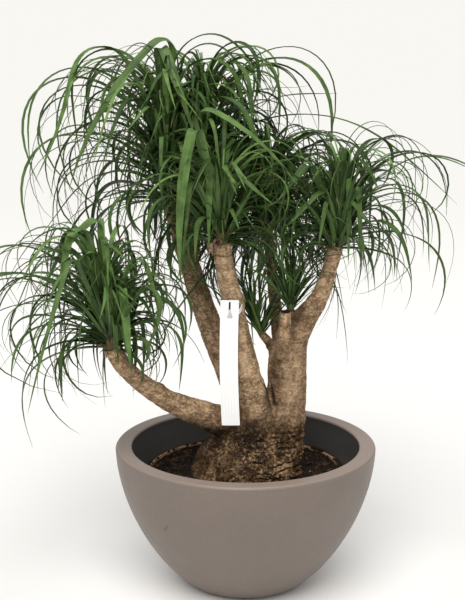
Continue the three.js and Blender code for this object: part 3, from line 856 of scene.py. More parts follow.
def stem_colour(paint, flecks, broad):
    """Tan and brown patches that lie across the stem, with pale and dark spots and faint streaks."""
    patches = paint.mottle(18.0, 4.2, flatten=1.6, roughness=0.7)
    spots = paint.mottle(5.0, 4.4, flatten=1.6, roughness=0.75)
    streak = paint.stored("streak")
    return paint.layers(
        STEM_BROWN,
        (paint.ramp(patches, 0.1, 0.9), STEM_TAN),
        (paint.ramp(broad, 0.45, 0.9, 0.0, 0.6), STEM_BROWN),
        (paint.ramp(patches, 0.6, 1.0, 0.0, 0.45), STEM_PALE),
        (paint.times(paint.stored("fair"), 0.55), STEM_PALE),
        (paint.ramp(streak, 0.55, 0.0, 0.0, 0.5), CORK_BROWN),
        (paint.ramp(streak, 0.7, 1.2, 0.0, 0.35), STEM_PALE),
        (paint.ramp(spots, 0.55, 1.0, 0.0, 0.7), STEM_PALE),
        (paint.ramp(spots, 0.36, 0.0, 0.0, 0.5), STEM_BROWN),
        (paint.ramp(flecks, 0.16, 0.0, 0.0, 0.3), BARK_DARK),
    )


def cork_colour(paint, flecks, broad):
    """Brown cork with clusters of pale flecks in some parts and of dark pits in others, with painted shade
    over the pits in the hollow under the label.
    """
    clouds = paint.mottle(9.0, 3.6, roughness=0.8)
    pale = paint.times(paint.ramp(flecks, 0.55, 0.9), paint.ramp(broad, 0.3, 0.75))
    # dark pits, painted darker as painted shade in the hollow under the label
    shaded_pits = paint.times(paint.ramp(flecks, 0.7, 0.35), paint.stored("pits_in_shade"))
    return paint.layers(
        CORK_BROWN,
        (paint.ramp(clouds, 0.2, 0.8), CORK_TAN),
        (paint.ramp(broad, 0.5, 0.1, 0.0, 0.5), CORK_BROWN),
        (paint.times(paint.stored("fair"), paint.ramp(flecks, 0.1, 0.7, 0.25, 0.85)), CORK_PALE),
        (paint.times(pale, 0.85), CORK_PALE),
        (paint.times(paint.ramp(flecks, 0.45, 0.1), paint.ramp(broad, 0.85, 0.35)), BARK_DARK),
        (paint.times(shaded_pits, 0.9), BARK_DARK),
    )


# %% Paint the bark
STUB_END = {"centre": (58.5, -41, 441), "reach": 13, "lowest": 439, "level": 0.75}


def corky_bark():
    paint = Material("corky_bark")
    broad = paint.mottle(32.0, 3.2)
    flecks = paint.mottle(5.0, 5.0, flatten=1.3, roughness=0.8)
    corky, stain_and_shade = paint.stored("corky"), paint.stored("stain_and_shade")
    patchy = paint.times(paint.ramp(flecks, 0.9, 0.5, 0.2, 1.0), corky)
    colour = paint.layers(
        stem_colour(paint, flecks, broad),
        (corky, cork_colour(paint, flecks, broad)),
        (paint.times(paint.stored("flank"), 0.45), CORK_BROWN),
        # painted shade, partly with dark bark: under the label, by the sprouts, near the fork and in the
        # groove
        (paint.times(stain_and_shade, 0.75), CORK_BROWN),
        (paint.times(stain_and_shade, patchy), BARK_DARK),
        # nearly black in the furrows and the groove: partly the bark's own dark cracks, partly painted
        # shade in them
        (paint.ramp(paint.stored("furrow"), 0.05, 0.75), BARK_DARK),
        (paint.stored("sawn"), BARK_DARK),
    )
    relief = paint.maths("ADD", paint.times(flecks, corky), paint.times(paint.grain(1.8), 0.6))
    return paint.finish(colour, paint.ramp(broad, 0.0, 1.0, 0.92, 0.74), relief, 1.3, specular=0.1)


places = points_of(trunk)
near_end = np.linalg.norm(places - np.array(STUB_END["centre"]), axis=1) < STUB_END["reach"]
level = read(trunk, "normal")[:, 2] > STUB_END["level"]
store(trunk, "sawn", near_end & level & (places[:, 2] > STUB_END["lowest"]))
dress(trunk, [corky_bark()])
settle(trunk, "trunk")

# %% [markdown]
# ## The peat
# The soil fills the grow pot and is heaped a little round the trunk. Its top is one net of
# points in rings, from the edge of the trunk's hollow out to the pot's wall, raised and lowered
# by noise. A net alone would look like felt, so loose crumbs, flakes of bark, fine roots and a
# few pale grains are strewn over it as real pieces, each sunk a little way in.

# %% Shape the peat
SOIL = {"top": 176, "mound": 6, "mound_radius": 95, "wall_radius": 147.4, "sides": 300, "rings": 62}
SOIL_FOOT = ((147.4, 161), (141.4, 153.5), (84.6, 27.8))  # radius and height, down inside the pot
FOOT = {"centre": (2, -6), "half_width": 88, "half_depth": 74, "bottom": 120, "widest": 178}
HOLLOW_GAP = 0.5
HOLLOW_HEIGHTS = (FOOT["bottom"] - HOLLOW_GAP, 135, 155, 168)


def ground_height(x, y):
    """The lie of the peat: heaped beside the trunk, with clods and a crumbly skin."""
    away = np.hypot(x, y)
    heap = SOIL["mound"] * (1 - smooth_step(away, SOIL["mound_radius"] - 25, SOIL["wall_radius"]))
    spots = np.stack([x, y, np.zeros_like(x)], axis=-1).reshape(-1, 3)
    clods = 2.0 * noise_at(spots, 26) + 1.1 * noise_at(spots, 9, shift=4.4) + 0.8 * noise_at(spots, 3.6)
    return SOIL["top"] + heap + clods.reshape(np.shape(x))


def oval(height, half_width, half_depth, centre=(0, 0)):
    flat = np.array(centre) + circle_of(SOIL["sides"]) * [half_width, half_depth]
    return np.column_stack([flat, np.full(len(flat), float(height))])


def hollow_ring(height):
    """The outline of the trunk's foot at that height, a little larger."""
    down = (FOOT["widest"] - height) / (FOOT["widest"] - FOOT["bottom"])
    share = math.sqrt(1 - 0.84 * np.clip(down, 0, 1) ** 2)
    wide, deep = FOOT["half_width"] * share + HOLLOW_GAP, FOOT["half_depth"] * share + HOLLOW_GAP
    return oval(height, wide, deep, FOOT["centre"])


def peat_skin():
    rings = [hollow_ring(height) for height in HOLLOW_HEIGHTS]
    inner = hollow_ring(SOIL["top"])
    outer = oval(SOIL["top"], SOIL["wall_radius"], SOIL["wall_radius"])
    for step in range(SOIL["rings"] + 1):
        ring = mix(inner, outer, step / SOIL["rings"])
        ring[:, 2] = ground_height(ring[:, 0], ring[:, 1])
        rings.append(ring)
    return skin(rings + [oval(height, radius, radius) for radius, height in SOIL_FOOT])


# %% Places for loose bits
BURIED_RIM = [(0, 20), (33, 44), (54, 126), (168, 360)]  # degrees between which peat lies over the rim
RIM_HEIGHT = 180
UNDER_TRUNK = 4  # millimetres that loose bits may lie in under the trunk
SPIN = 6.28  # any heading, in radians
LUMP = np.array([
    (0, 0, 1), (0.94, 0, 0.33), (-0.47, 0.82, 0.33), (-0.47, -0.82, 0.33),
    (0.47, 0.82, -0.33), (-0.94, 0, -0.33), (0.47, -0.82, -0.33), (0, 0, -1),
])
LUMP_FACES = [
    (0, 1, 2), (0, 2, 3), (0, 3, 1), (1, 4, 2), (2, 5, 3), (3, 6, 1),
    (1, 6, 4), (2, 4, 5), (3, 5, 6), (7, 5, 4), (7, 6, 5), (7, 4, 6),
]


def place_on_peat(i, seed, reach):
    """A spot between the trunk and the wall."""
    angle = 2 * math.pi * draw(i, seed)
    wide, deep = FOOT["half_width"] - UNDER_TRUNK, FOOT["half_depth"] - UNDER_TRUNK
    inner = math.hypot(wide * math.cos(angle), deep * math.sin(angle))
    radius = mix(inner, reach, math.sqrt(draw(i, seed + 1)))
    return radius * math.cos(angle), radius * math.sin(angle)


def place_on_rim(i, seed, reach):
    """A spot on the grow pot's rim, where the peat covers it."""
    low, high = BURIED_RIM[i % len(BURIED_RIM)] if i % 3 else BURIED_RIM[-1]
    angle = math.radians(mix(low, high, draw(i, seed)))
    radius = reach + spread(i, seed + 1, 2.6)
    return radius * math.cos(angle), radius * math.sin(angle)


def lump(i, seed, size, flat):
    """A crumb with its own dents, turned and tipped by chance."""
    dented = LUMP * (0.75 + 0.5 * draw(i * 8 + np.arange(8), seed + 2))[:, None]
    shaped = dented * np.array([size, size * (0.6 + 0.4 * draw(i, seed + 3)), size * flat])
    yaw, pitch = SPIN * draw(i, seed + 4), spread(i, seed + 5, 0.6)
    across = np.array([[math.cos(yaw), -math.sin(yaw), 0], [math.sin(yaw), math.cos(yaw), 0], [0, 0, 1]])
    run, rise = math.cos(pitch), math.sin(pitch)
    tilt = np.array([[1, 0, 0], [0, run, -rise], [0, rise, run]])
    return shaped @ tilt.T @ across.T


def strewn(count, seed, sizes, flat, reach, place=place_on_peat):
    spots = np.array([place(i, seed, reach) for i in range(count)])
    heights = ground_height(spots[:, 0], spots[:, 1])
    on_rim = np.hypot(spots[:, 0], spots[:, 1]) > SOIL["wall_radius"] - 1
    heights = np.where(on_rim, np.maximum(heights, RIM_HEIGHT), heights)
    parts = []
    for i in range(count):
        size = mix(*sizes, draw(i, seed + 6) ** 2)
        at = np.array([*spots[i], heights[i] + 0.25 * size * flat])
        parts.append((lump(i, seed, size, flat) + at, [], LUMP_FACES))
    return parts


def fine_root(i):
    """A thin crooked thread with three sides, lying on the peat."""
    x, y = place_on_peat(i, 71, 140)
    heading = SPIN * draw(i, 73)
    length = mix(8, 30, draw(i, 74))
    steps = 6
    rings = []
    for step in range(steps + 1):
        lift = ground_height(np.array([x]), np.array([y]))[0] + 0.5 + 1.2 * math.sin(math.pi * step / steps)
        thick = 0.35 if step not in (0, steps) else 0.12
        side = np.array([-math.sin(heading), math.cos(heading), 0])
        middle = np.array([x, y, lift])
        rings.append([middle + thick * side, middle - thick * side, middle + [0, 0, thick]])
        heading += spread(i * 9 + step, 75, 0.5)
        x += math.cos(heading) * length / steps
        y += math.sin(heading) * length / steps
    return skin(rings)


# %% Strew the crumbs, bark flakes, roots and pale grains
groups = [  # the numbers are: how many, seed, smallest and largest size, flatness, reach
    [peat_skin()],
    strewn(3600, 21, (0.7, 3.2), 0.8, 147),
    strewn(150, 41, (3.0, 8.5), 0.3, 142),
    [fine_root(i) for i in range(150)],
    strewn(60, 61, (0.6, 1.5), 0.9, 142),
    strewn(700, 91, (1.2, 3.0), 0.8, 149.5, place_on_rim),
]
FINISH_OF_GROUP = np.array([0, 0, 1, 2, 3, 0])
parts = [part for group in groups for part in group]
kinds = np.repeat(FINISH_OF_GROUP, [len(group) for group in groups])
points, quads, triangles, owners = joined(parts)
soil = mesh_object("peat", points, quads, triangles)
store(soil, "tint", draw(owners, 5))
print("on the peat lie", len(parts) - 1, "loose pieces")

# %% [markdown]
# ## The peat's colours
# Moist peat is almost black, with a warm brown where it has dried. The crumbs differ from each
# other, so each carries its own tint. The bark flakes are red brown, the roots are straw, and
# the pale grains are the lime and perlite that growers mix in.

# %% Paint the peat
PEAT_BLACK = (0.010, 0.007, 0.005, 1)
PEAT_BROWN = (0.034, 0.021, 0.013, 1)
FLAKE_BROWN = (0.095, 0.052, 0.028, 1)
FLAKE_DARK = (0.024, 0.013, 0.008, 1)
ROOT_STRAW = (0.20, 0.13, 0.07, 1)
GRAIN_PALE = (0.46, 0.43, 0.38, 1)


def loose_material(name, first, second, size, depth):
    """A dry, rough material whose colour changes from piece to piece and inside each piece."""
    paint = Material(name)
    clouds = paint.mottle(size, 3.0)
    share = paint.times(clouds, paint.maths("ADD", paint.stored("tint"), 0.25), clamp=True)
    roughness = paint.ramp(clouds, 0.0, 1.0, 0.98, 0.8)
    colour = paint.blend(share, first, second)
    return paint.finish(colour, roughness, paint.grain(size * 0.3), depth, specular=0.1)


first_corners = np.concatenate([quads[:, 0], triangles[:, 0]])
dress(soil, [
    loose_material("moist_peat", PEAT_BLACK, PEAT_BROWN, 5.0, 1.0),
    loose_material("bark_flake", FLAKE_DARK, FLAKE_BROWN, 4.0, 0.4),
    loose_material("fine_root", FLAKE_BROWN, ROOT_STRAW, 6.0, 0.2),
    loose_material("pale_grain", ROOT_STRAW, GRAIN_PALE, 2.0, 0.2),
], kinds[owners[first_corners]])
settle(soil, "soil")

# %% [markdown]
# ## The plant label
# A strip of stiff white plastic hangs from the middle stem by a narrow band, which comes round
# the stem and locks in the slot. The strip bends a little as it hangs. Its face is left for the
# owner to write on, so it has only fine grey lines to write along. The strip is a flat net with
# the cells of the slot left out, bent to shape, with its back and its edges added after that.

# %% Shape the strip
LABEL = {
    "width": 27, "length": 190, "thickness": 0.8, "corner": 1.2, "slot_width": 3.0, "slot_top": 2.5,
    "slot_end": 15.5, "top": (-24, -55.5, 461), "forward": 9, "bow": 2.2, "sway": 2.0, "lean": 1.5,
}
HALF_STRIP = LABEL["width"] / 2
ROUND_STEPS = np.radians([22, 45, 68, 90])


def label_net():
    """Where the net's points lie across the strip and down it, before it is bent."""
    corner, length = LABEL["corner"], LABEL["length"]
    half, slot = HALF_STRIP, LABEL["slot_width"] / 2
    right = np.concatenate([
        np.linspace(slot, half - corner, 5), half - corner * (1 - np.sin(ROUND_STEPS)),
    ])
    rounding = corner * (1 - np.cos([0, *ROUND_STEPS]))
    body = np.linspace(LABEL["slot_end"], length - corner, 40)
    rows = np.unique(np.concatenate([rounding, length - rounding, [LABEL["slot_top"]], body]).round(4))
    across, down = np.meshgrid(np.concatenate([-right[::-1], right]), rows)
    inset = np.clip(corner - np.minimum(down, length - down), 0, corner)
    reach = half - corner + np.sqrt(corner ** 2 - inset ** 2)
    return np.clip(across, -reach, reach), down


def bent(across, down):
    """The strip's front as it hangs: bowed, swayed and leaning forward."""
    share = down / LABEL["length"]
    top = np.array(LABEL["top"])
    x = top[0] + across - LABEL["sway"] * np.sin(math.pi * share) + LABEL["lean"] * share ** 2
    y = top[1] - LABEL["forward"] * share - LABEL["bow"] * np.sin(math.pi * share) + 0.004 * across ** 2
    z = top[2] - down * math.cos(math.atan2(LABEL["forward"], LABEL["length"]))
    return np.stack([x, y, z], axis=-1).reshape(-1, 3)


def label_strip(across, down):
    rows, columns = across.shape
    count = rows * columns
    number = np.arange(count).reshape(rows, columns)
    in_slot = (down > LABEL["slot_top"] - 0.01) & (down < LABEL["slot_end"] - 0.01)
    faces = []
    for r in range(rows - 1):
        for c in range(columns - 1):
            if c != columns // 2 - 1 or not in_slot[r, c]:
                faces.append((number[r, c], number[r + 1, c], number[r + 1, c + 1], number[r, c + 1]))
    edges = [edge for face in faces for edge in zip(face, face[1:] + face[:1])]
    used = set(edges)
    quads = faces + [tuple(v + count for v in reversed(face)) for face in faces]
    quads += [(b, a, a + count, b + count) for a, b in edges if (b, a) not in used]
    front = bent(across, down)
    return np.concatenate([front, front + [0, LABEL["thickness"], 0]]), quads, []


# %% Shape the band, its tongue and the painted shade behind the slot
BAND = {"half_width": 17.0, "half_depth": 23, "centre": (-21.5, -33.5, 453), "height": 8, "sag": 14}
BAND_SIDES = 96
TONGUE = ((-2, 1.3, 0.3), (2, 1.8, 2.2), (5, 2.6, 2.4), (10, 4.2, 1.9))  # drop, half width and lift


def label_band():
    """The narrow band: an oval ring that sags in front."""
    up = np.array([0, 0, BAND["height"] / 2])
    rings = []
    for angle in 2 * math.pi * np.arange(BAND_SIDES) / BAND_SIDES:
        out = np.array([math.cos(angle), math.sin(angle), 0])
        outer = np.array(BAND["centre"]) + np.array([BAND["half_width"], BAND["half_depth"], 0]) * out
        outer[2] += BAND["sag"] * min(0, math.sin(angle))
        inner = outer - LABEL["thickness"] * out
        rings.append([outer + up, outer - up, inner - up, inner + up])
    numbers = np.arange(BAND_SIDES * 4).reshape(-1, 4)
    return np.reshape(rings, (-1, 3)), walls(numbers, np.roll(numbers, -1, axis=0)), []


def cross_section(x, half, front, thick, height):
    left, right, back = x - half, x + half, front + thick
    return [(left, front, height), (right, front, height), (right, back, height), (left, back, height)]


def label_tongue():
    """The end of the band, pushed out through the slot and folded down in front."""
    x, y, top = LABEL["top"]
    foot = top - LABEL["slot_end"]
    return skin([cross_section(x, half, y - 1.4 - lift, 0.7, foot - drop) for drop, half, lift in TONGUE])


def slot_shade_plate():
    """A thin plate behind the slot, standing in for the band there, painted near black as painted shade."""
    x, y, top = LABEL["top"]
    ends = ((y + 0.9, top - LABEL["slot_top"] + 1), (y + 0.4, top - LABEL["slot_end"] - 1))
    return skin([cross_section(x, 3, front, 0.5, height) for front, height in ends])


across, down = label_net()
points, quads, triangles, owners = joined([
    label_strip(across, down), label_band(), label_tongue(), slot_shade_plate(),
])
label = mesh_object("plant_label", points, quads, triangles)
outside = np.full(len(points) - 2 * across.size, -100.0)
store(label, "across", np.concatenate([across.ravel(), across.ravel(), outside]))
store(label, "down", np.concatenate([down.ravel(), down.ravel(), outside]))
store(label, "folded", owners == 2)
store(label, "shaded", owners == 3)
label.data.set_sharp_from_angle(angle=math.radians(50))
print("label strip is", LABEL["width"], "by", LABEL["length"], "mm")

# %% Paint the label
LABEL_WHITE = (0.90, 0.90, 0.89, 1)
LABEL_CREAM = (0.86, 0.86, 0.84, 1)
RULE_GREY = (0.28, 0.28, 0.29, 1)
TONGUE_PAINTED_SHADE = (0.50, 0.50, 0.50, 1)
SLOT_PAINTED_SHADE = (0.012, 0.012, 0.012, 1)
RULE_EVERY = 4.4  # millimetres between the lines to write along
RULE_WIDTH = 0.10
RULE_FROM, RULE_TO, RULE_REACH = 34.0, 178.0, 11.2  # where they start, end and how far out they lie


def label_plastic():
    paint = Material("white_label")
    across, down = paint.stored("across"), paint.stored("down")
    clouds = paint.mottle(30.0, 1.8)
    place = paint.maths("PINGPONG", across, RULE_EVERY / 2)
    ruled = paint.maths("GREATER_THAN", place, RULE_EVERY / 2 - RULE_WIDTH)
    started = paint.maths("GREATER_THAN", down, RULE_FROM)
    unfinished = paint.maths("LESS_THAN", down, RULE_TO)
    inside = paint.maths("LESS_THAN", paint.maths("ABSOLUTE", across), RULE_REACH)
    lines = paint.times(ruled, paint.times(paint.times(started, unfinished), inside))
    colour = paint.layers(
        LABEL_WHITE,
        (clouds, LABEL_CREAM),
        (paint.times(lines, 0.6), RULE_GREY),
        # painted shade: the tongue is painted grey and the plate behind the slot near black
        (paint.stored("folded"), TONGUE_PAINTED_SHADE),
        (paint.stored("shaded"), SLOT_PAINTED_SHADE),
    )
    return paint.finish(colour, paint.ramp(clouds, 0.0, 1.0, 0.36, 0.5), paint.grain(1.5), 0.05)


dress(label, [label_plastic()])
settle(label, "tag")

# %% [markdown]
# ## The heads of leaves
# A head sits on the tip of a stem. It has a slim core, and its leaves stand out of that. How far
# the leaves reach, which way the whole head leans and how many leaves there are differ from head
# to head, and so does how far people have parted the leaves in front. The leaves of each head
# keep inside a dome-shaped outline. The two heads high up share one, and the others have their own.
# The first few leaves of a head give it its outline, so they are listed one by one.

# %% The plan of the heads
CROWN = ((-92, 10, 668), (268, 290, 180))  # middle and half sizes of the dome
FRONT_CROWN = ((-30, -45, 560), (180, 260, 172))
RIGHT_CROWN = ((145, -20, 585), (172, 240, 142))
LEFT_CROWN = ((-215, -85, 400), (235, 240, 192))
BACK_CROWN = ((45, 60, 500), (250, 220, 215))

# "core" is a radius and a length. "lean" is a direction and the share by which leaves on that
# side are longer. "turn" is where the first leaf points. "shorten" is the share by which the
# oldest leaves are shorter, and "lowest" is their rise in degrees. "upright" goes from 0, arching,
# to 1, stiff. "parted" is the share of leaves that are missing in front, and
# "young_green_less_in_shade" is how much of the young green may show; on the back head it is
# set low, as painted shade behind the other heads. "peels" are torn, pale sheaths of lost leaves
# below the tip.
USUAL = {
    "lean": (0, 0), "upright": 0, "parted": 0, "young_green_less_in_shade": 1, "lowest": 6, "dome": None,
    "chosen": [], "peels": [],
}
SPROUT = {
    "young": 9, "wisps": 8, "scales": 12, "shorten": 0.3, "upright": 0.85, "parted": 0.2, "young_green_less_in_shade": 0.5,
}

# A listed leaf is: azimuth, rise, fall, length, bend, curl, width, up, hook, tint.
PLAN = [
    {
        "node": "head_back_left", "limb": "back_left", "axis": (-6, 2, 60), "core": (11, 116),
        "reach": 350, "lean": (185, 0.2), "turn": 20, "seed": 100, "ruled": 230, "young": 30, "wisps": 80,
        "scales": 40, "shorten": 0.4, "parted": 0.75, "dome": CROWN,
        "chosen": [
            (24, 84, 218, 430, 0.335, 0.14, 13, 0.92, 36, 0.45),
            (312, 97, -56, 292, 0.49, 0.07, 17, 0.80, -8, 0.30),
            (192, 64, -84, 400, 0.42, 0.36, 10, 0.95, 24, 0.50),
            (181, 48, -78, 395, 0.48, 0.75, 10, 0.85, -40, 0.35),
            (184, 54, -84, 370, 0.50, 0.75, 8, 0.90, -10, 0.30),
            (178, 48, -75, 400, 0.42, 0.70, 7, 0.85, -75, 0.30),
            (-25, 50, -62, 290, 0.42, 0.50, 10, 0.80, -15, 0.20),
            (280, 86, -86, 240, 0.45, 0.06, 10, 0.85, 0, 0.45),
            (200, 34, -72, 365, 0.50, 0.80, 8, 0.45, -40, 0.30),
            (165, 22, -60, 300, 0.45, 0.80, 7, 0.30, -60, 0.20),
            (20, 76, -60, 235, 0.55, 0.12, 9, 0.90, 0, 0.15),
            (16, 80, -54, 366, 0.41, 0.45, 7, 0.93, -30, 0.35),
            (-6, 76, -66, 326, 0.42, 0.50, 9, 0.92, -30, 0.30),
            (2, 84, -40, 326, 0.48, 0.55, 6, 0.95, -20, 0.20),
        ],
    },
    {
        "node": "head_top", "limb": "top", "axis": (2, 2, 60), "core": (10, 80),
        "reach": 310, "lean": (0, 0.15), "turn": 75, "seed": 300, "ruled": 195, "young": 20, "wisps": 70,
        "scales": 20, "shorten": 0.5, "parted": 0.65, "dome": CROWN,
        "chosen": [
            (-6, 60, -62, 360, 0.45, 0.80, 11, 0.80, -38, 0.35),
            (3, 60, -64, 405, 0.46, 0.72, 5, 0.75, -50, 0.05),
            (-12, 70, -70, 280, 0.45, 0.60, 8, 0.90, -30, 0.30),
            (-8, 26, -38, 440, 0.42, 0.80, 5, 0.40, -5, 0.20),
            (12, 28, -2, 225, 0.55, 0.60, 4, 0.60, 2, 0.20),
            (-30, 76, -70, 230, 0.45, 0.50, 8, 0.90, -20, 0.30),
        ],
    },
    {
        "node": "head_front", "limb": "middle", "axis": (2, -2, 60), "core": (11, 70),
        "reach": 270, "lean": (170, 0.1), "turn": 0, "seed": 500, "ruled": 170, "young": 46, "wisps": 50,
        "scales": 44, "shorten": 0.5, "parted": 0.9, "dome": FRONT_CROWN,
        "peels": [
            (205, 5, -96, 36, 0.38, 0.2, 9, 0.03, 12, 1.8),
            (226, 0, -92, 32, 0.44, 0.2, 8, 0.02, -16, 1.8),
            (246, 5, -90, 25, 0.52, 0.2, 5, 0.00, 40, 0.4),
            (268, 10, -90, 22, 0.60, 0.2, 4, 0.00, 60, 0.1),
        ],
        "chosen": [
            (222, 74, -72, 368, 0.385, 0.07, 16, 0.50, -24, 0.40),
            (222, 80, -89, 180, 0.42, 0.04, 10, 0.35, 0, 0.50),
            (218, 62, -84, 200, 0.42, 0.14, 7, 0.35, 4, 0.35),
            (325, 75, -38, 140, 0.47, 0.12, 9, 0.60, 10, 0.40),
            (352, 108, -22, 345, 0.45, 0.16, 9, 0.60, -35, 0.45),
            (195, 50, -75, 210, 0.45, 0.60, 7, 0.30, -30, 0.30),
        ],
    },
    {
        "node": "head_right", "limb": "right", "axis": (8, -2, 60), "core": (10, 70),
        "reach": 285, "lean": (5, 0.2), "turn": 40, "seed": 700, "ruled": 150, "young": 44, "wisps": 60,
        "scales": 44, "shorten": 0.5, "parted": 0.9, "dome": RIGHT_CROWN,
        "chosen": [
            (195, 66, -50, 165, 0.60, 0.12, 16, 0.50, 0, 0.08),
            (75, 84, -40, 165, 0.60, 0.15, 14, 0.70, 0, 0.15),
            (310, 82, -89, 200, 0.36, 0.04, 9, 0.50, 0, 0.40),
            (320, 72, -86, 190, 0.36, 0.10, 8, 0.45, 0, 0.35),
            (235, 74, -72, 130, 0.45, 0.20, 7, 0.30, 0, 0.30),
            (2, 50, -22, 400, 0.42, 0.80, 5, 0.55, -10, 0.30),
            (8, 28, -12, 380, 0.40, 0.70, 4, 0.90, -15, 0.30),
            (-8, 42, -80, 235, 0.45, 0.60, 6, 0.70, -10, 0.30),
            (-20, 30, -95, 140, 0.50, 0.70, 5, 0.60, -60, 0.10),
            (12, 60, -60, 270, 0.50, 0.80, 6, 0.80, -30, 0.20),
        ],
    },
    {
        "node": "head_left", "limb": "left", "axis": (-10, -4, 60), "core": (11, 76),
        "reach": 300, "lean": (185, 0.3), "turn": 110, "seed": 900, "ruled": 190, "young": 44, "wisps": 70,
        "scales": 44, "shorten": 0.45, "parted": 0.85, "dome": LEFT_CROWN, "young_green_less_in_shade": 0.8,
        "chosen": [
            (5, 92, 216, 262, 0.46, 0.12, 13, 0.95, 40, 0.45),
            (212, 80, -72, 245, 0.50, 0.22, 13, 0.85, -10, 0.55),
            (310, 72, -82, 204, 0.38, 0.05, 13, 0.27, 0, 0.45),
            (300, 92, -75, 200, 0.48, 0.06, 11, 0.90, 0, 0.40),
            (-15, 66, -68, 200, 0.48, 0.20, 8, 0.70, -15, 0.40),
            (-25, 55, -80, 215, 0.42, 0.40, 8, 0.50, -55, 0.30),
            (-8, 22, -88, 190, 0.45, 0.60, 7, 0.30, -10, 0.20),
            (182, 50, -55, 330, 0.48, 0.70, 8, 0.85, -20, 0.40),
            (178, 34, -15, 320, 0.50, 0.60, 6, 0.80, 0, 0.30),
            (186, 38, -60, 330, 0.50, 0.70, 8, 0.60, -20, 0.30),
            (184, 40, -88, 440, 0.42, 0.60, 6, 0.40, -85, 0.20),
            (200, 15, -88, 150, 0.40, 0.50, 8, 0.10, -5, 0.20),
            (190, 25, -60, 200, 0.50, 0.80, 8, 0.20, -30, 0.30),
            (244, 58, -54, 385, 0.40, 0.12, 7, 0.30, -10, 0.30),
        ],
    },
    {
        "node": "head_back", "limb": "back", "axis": (-4, 4, 60), "core": (8.5, 60),
        "reach": 300, "turn": 65, "seed": 1100, "ruled": 230, "young": 12, "wisps": 180,
        # painted shade: the back head's leaves are darker, as it stands behind the other heads
        "scales": 18, "shorten": 0.15, "dome": BACK_CROWN, "lowest": -34, "young_green_less_in_shade": 0.35,
    },
    {
        **SPROUT, "node": "sprout_upper", "limb": "upper_sprout", "axis": (-2, -6, 40), "core": (6, 26),
        "reach": 175, "turn": 15, "seed": 1300, "ruled": 70,
    },
    {
        **SPROUT, "node": "sprout_lower", "limb": "lower_sprout", "axis": (-26, -6, 34), "core": (5.5, 24),
        "reach": 165, "lean": (180, 0.2), "turn": 50, "seed": 1400, "ruled": 60,
    },
]
HEADS = [{**USUAL, **plan} for plan in PLAN]

# %% Where the heads stand
CORE_SHAPE = [(0, 1), (0.3, 1.35), (0.75, 1.2), (1, 0.6)]  # shares of the length and of the radius
HEART_SHAPE = [(0, 0.98), (0.3, 0.74), (0.75, 0.62), (1, 0.34)]  # what is left to see of it
HEART_SIDES = 20
HEART_LIFT = 0.4  # millimetres from the end of the stem to the heart

for head in HEADS:
    head["root"] = np.array(LIMBS[head["limb"]][-1][:3], dtype=float)
    head["along"] = np.array(head["axis"]) / np.linalg.norm(head["axis"])
print("heads and sprouts:", len(HEADS))

# %% [markdown]
# ## The rule that the leaves grow by
# A ponytail palm puts out its leaves one after another round the tip, each about 137.5 degrees
# on from the last, though they lean together into a few tufts. The youngest stand nearly upright
# and arch over late. The oldest leave the stem almost level and hang straight down. So a leaf's
# number gives its age, and its age gives the slope that it starts and ends with, its length and
# where it bends. Small repeatable draws keep neighbours from being twins. To these come a few broad
# young leaves at the middle of each head, and many narrow wisps, whose tips drift sideways.

# %% Leaves by rule
FIELDS = [
    "azimuth", "rise", "fall", "length", "bend", "curl", "width", "up", "hook", "tint",
    "roll", "sway", "twist", "age", "taper", "dry", "fixed",
]
GOLDEN_ANGLE = 137.508
TUFTS = 5
TUFT_PULL = 10  # degrees
FRONT = 270  # azimuth that points at the viewer


def leaves_with(count, **columns):
    """That many leaves, with nought for each field that isn't given."""
    leaves = np.zeros(count, dtype=[(field, float) for field in FIELDS])
    for field, values in columns.items():
        leaves[field] = values
    return leaves


def in_front(azimuth):
    return smooth_step(np.cos(np.radians(azimuth - FRONT)), 0.2, 0.85)


def ruled_leaves(head, count, offset, narrow, sway):
    """Leaves along the golden angle. Those in front stand up, are shorter, and some are parted."""
    i = np.arange(count)
    seed = head["seed"] + offset + i
    age = 1 - (i + 0.5) / count
    upright = head["upright"]
    azimuth = head["turn"] + i * GOLDEN_ANGLE
    azimuth = azimuth + TUFT_PULL * np.sin(np.radians(TUFTS * azimuth + head["seed"])) + spread(seed, 1, 14)
    front = in_front(azimuth)
    side, share = head["lean"]
    leant = 1 + share * np.cos(np.radians(azimuth - side))
    rise = mix(mix(84, head["lowest"], age ** 1.2), mix(84, 50, age), upright) + spread(seed, 2, 11)
    length = head["reach"] * leant * (1 - head["shorten"] * age ** 2) * (1 - 0.4 * front)
    leaves = leaves_with(
        count,
        azimuth=azimuth,
        rise=mix(rise, np.maximum(rise, 68 + spread(seed, 15, 12)), front),
        fall=mix(mix(-74, 10, upright) + spread(seed, 3, 20), 0, 0.75 * front * (1 - age)),
        length=length * mix(0.55, 1.1, draw(seed, 4)),
        bend=mix(mix(0.50, 0.42, age), 0.7, upright) + spread(seed, 5, 0.08),
        curl=mix(0.6, 1.15, draw(seed, 6)) * (1 - 0.65 * front),
        width=mix(*narrow, draw(seed, 7) ** 1.5) * min(1, head["reach"] / 300),
        up=mix(-0.02, 0.95, (1 - age) ** 1.3),
        hook=(mix(-55, -25, upright) + spread(seed, 10, 60)) * (1 - 0.8 * front),
        roll=spread(seed, 13, 55),
        sway=spread(seed, 8, sway),
        twist=spread(seed, 9, 60),
        tint=head["young_green_less_in_shade"] * draw(seed, 11) ** 1.5,
        age=age,
        taper=0.5,
    )
    parted = draw(seed, 14) < head["parted"] * front * smooth_step(age, 0.05, 0.35)
    return leaves[~parted]


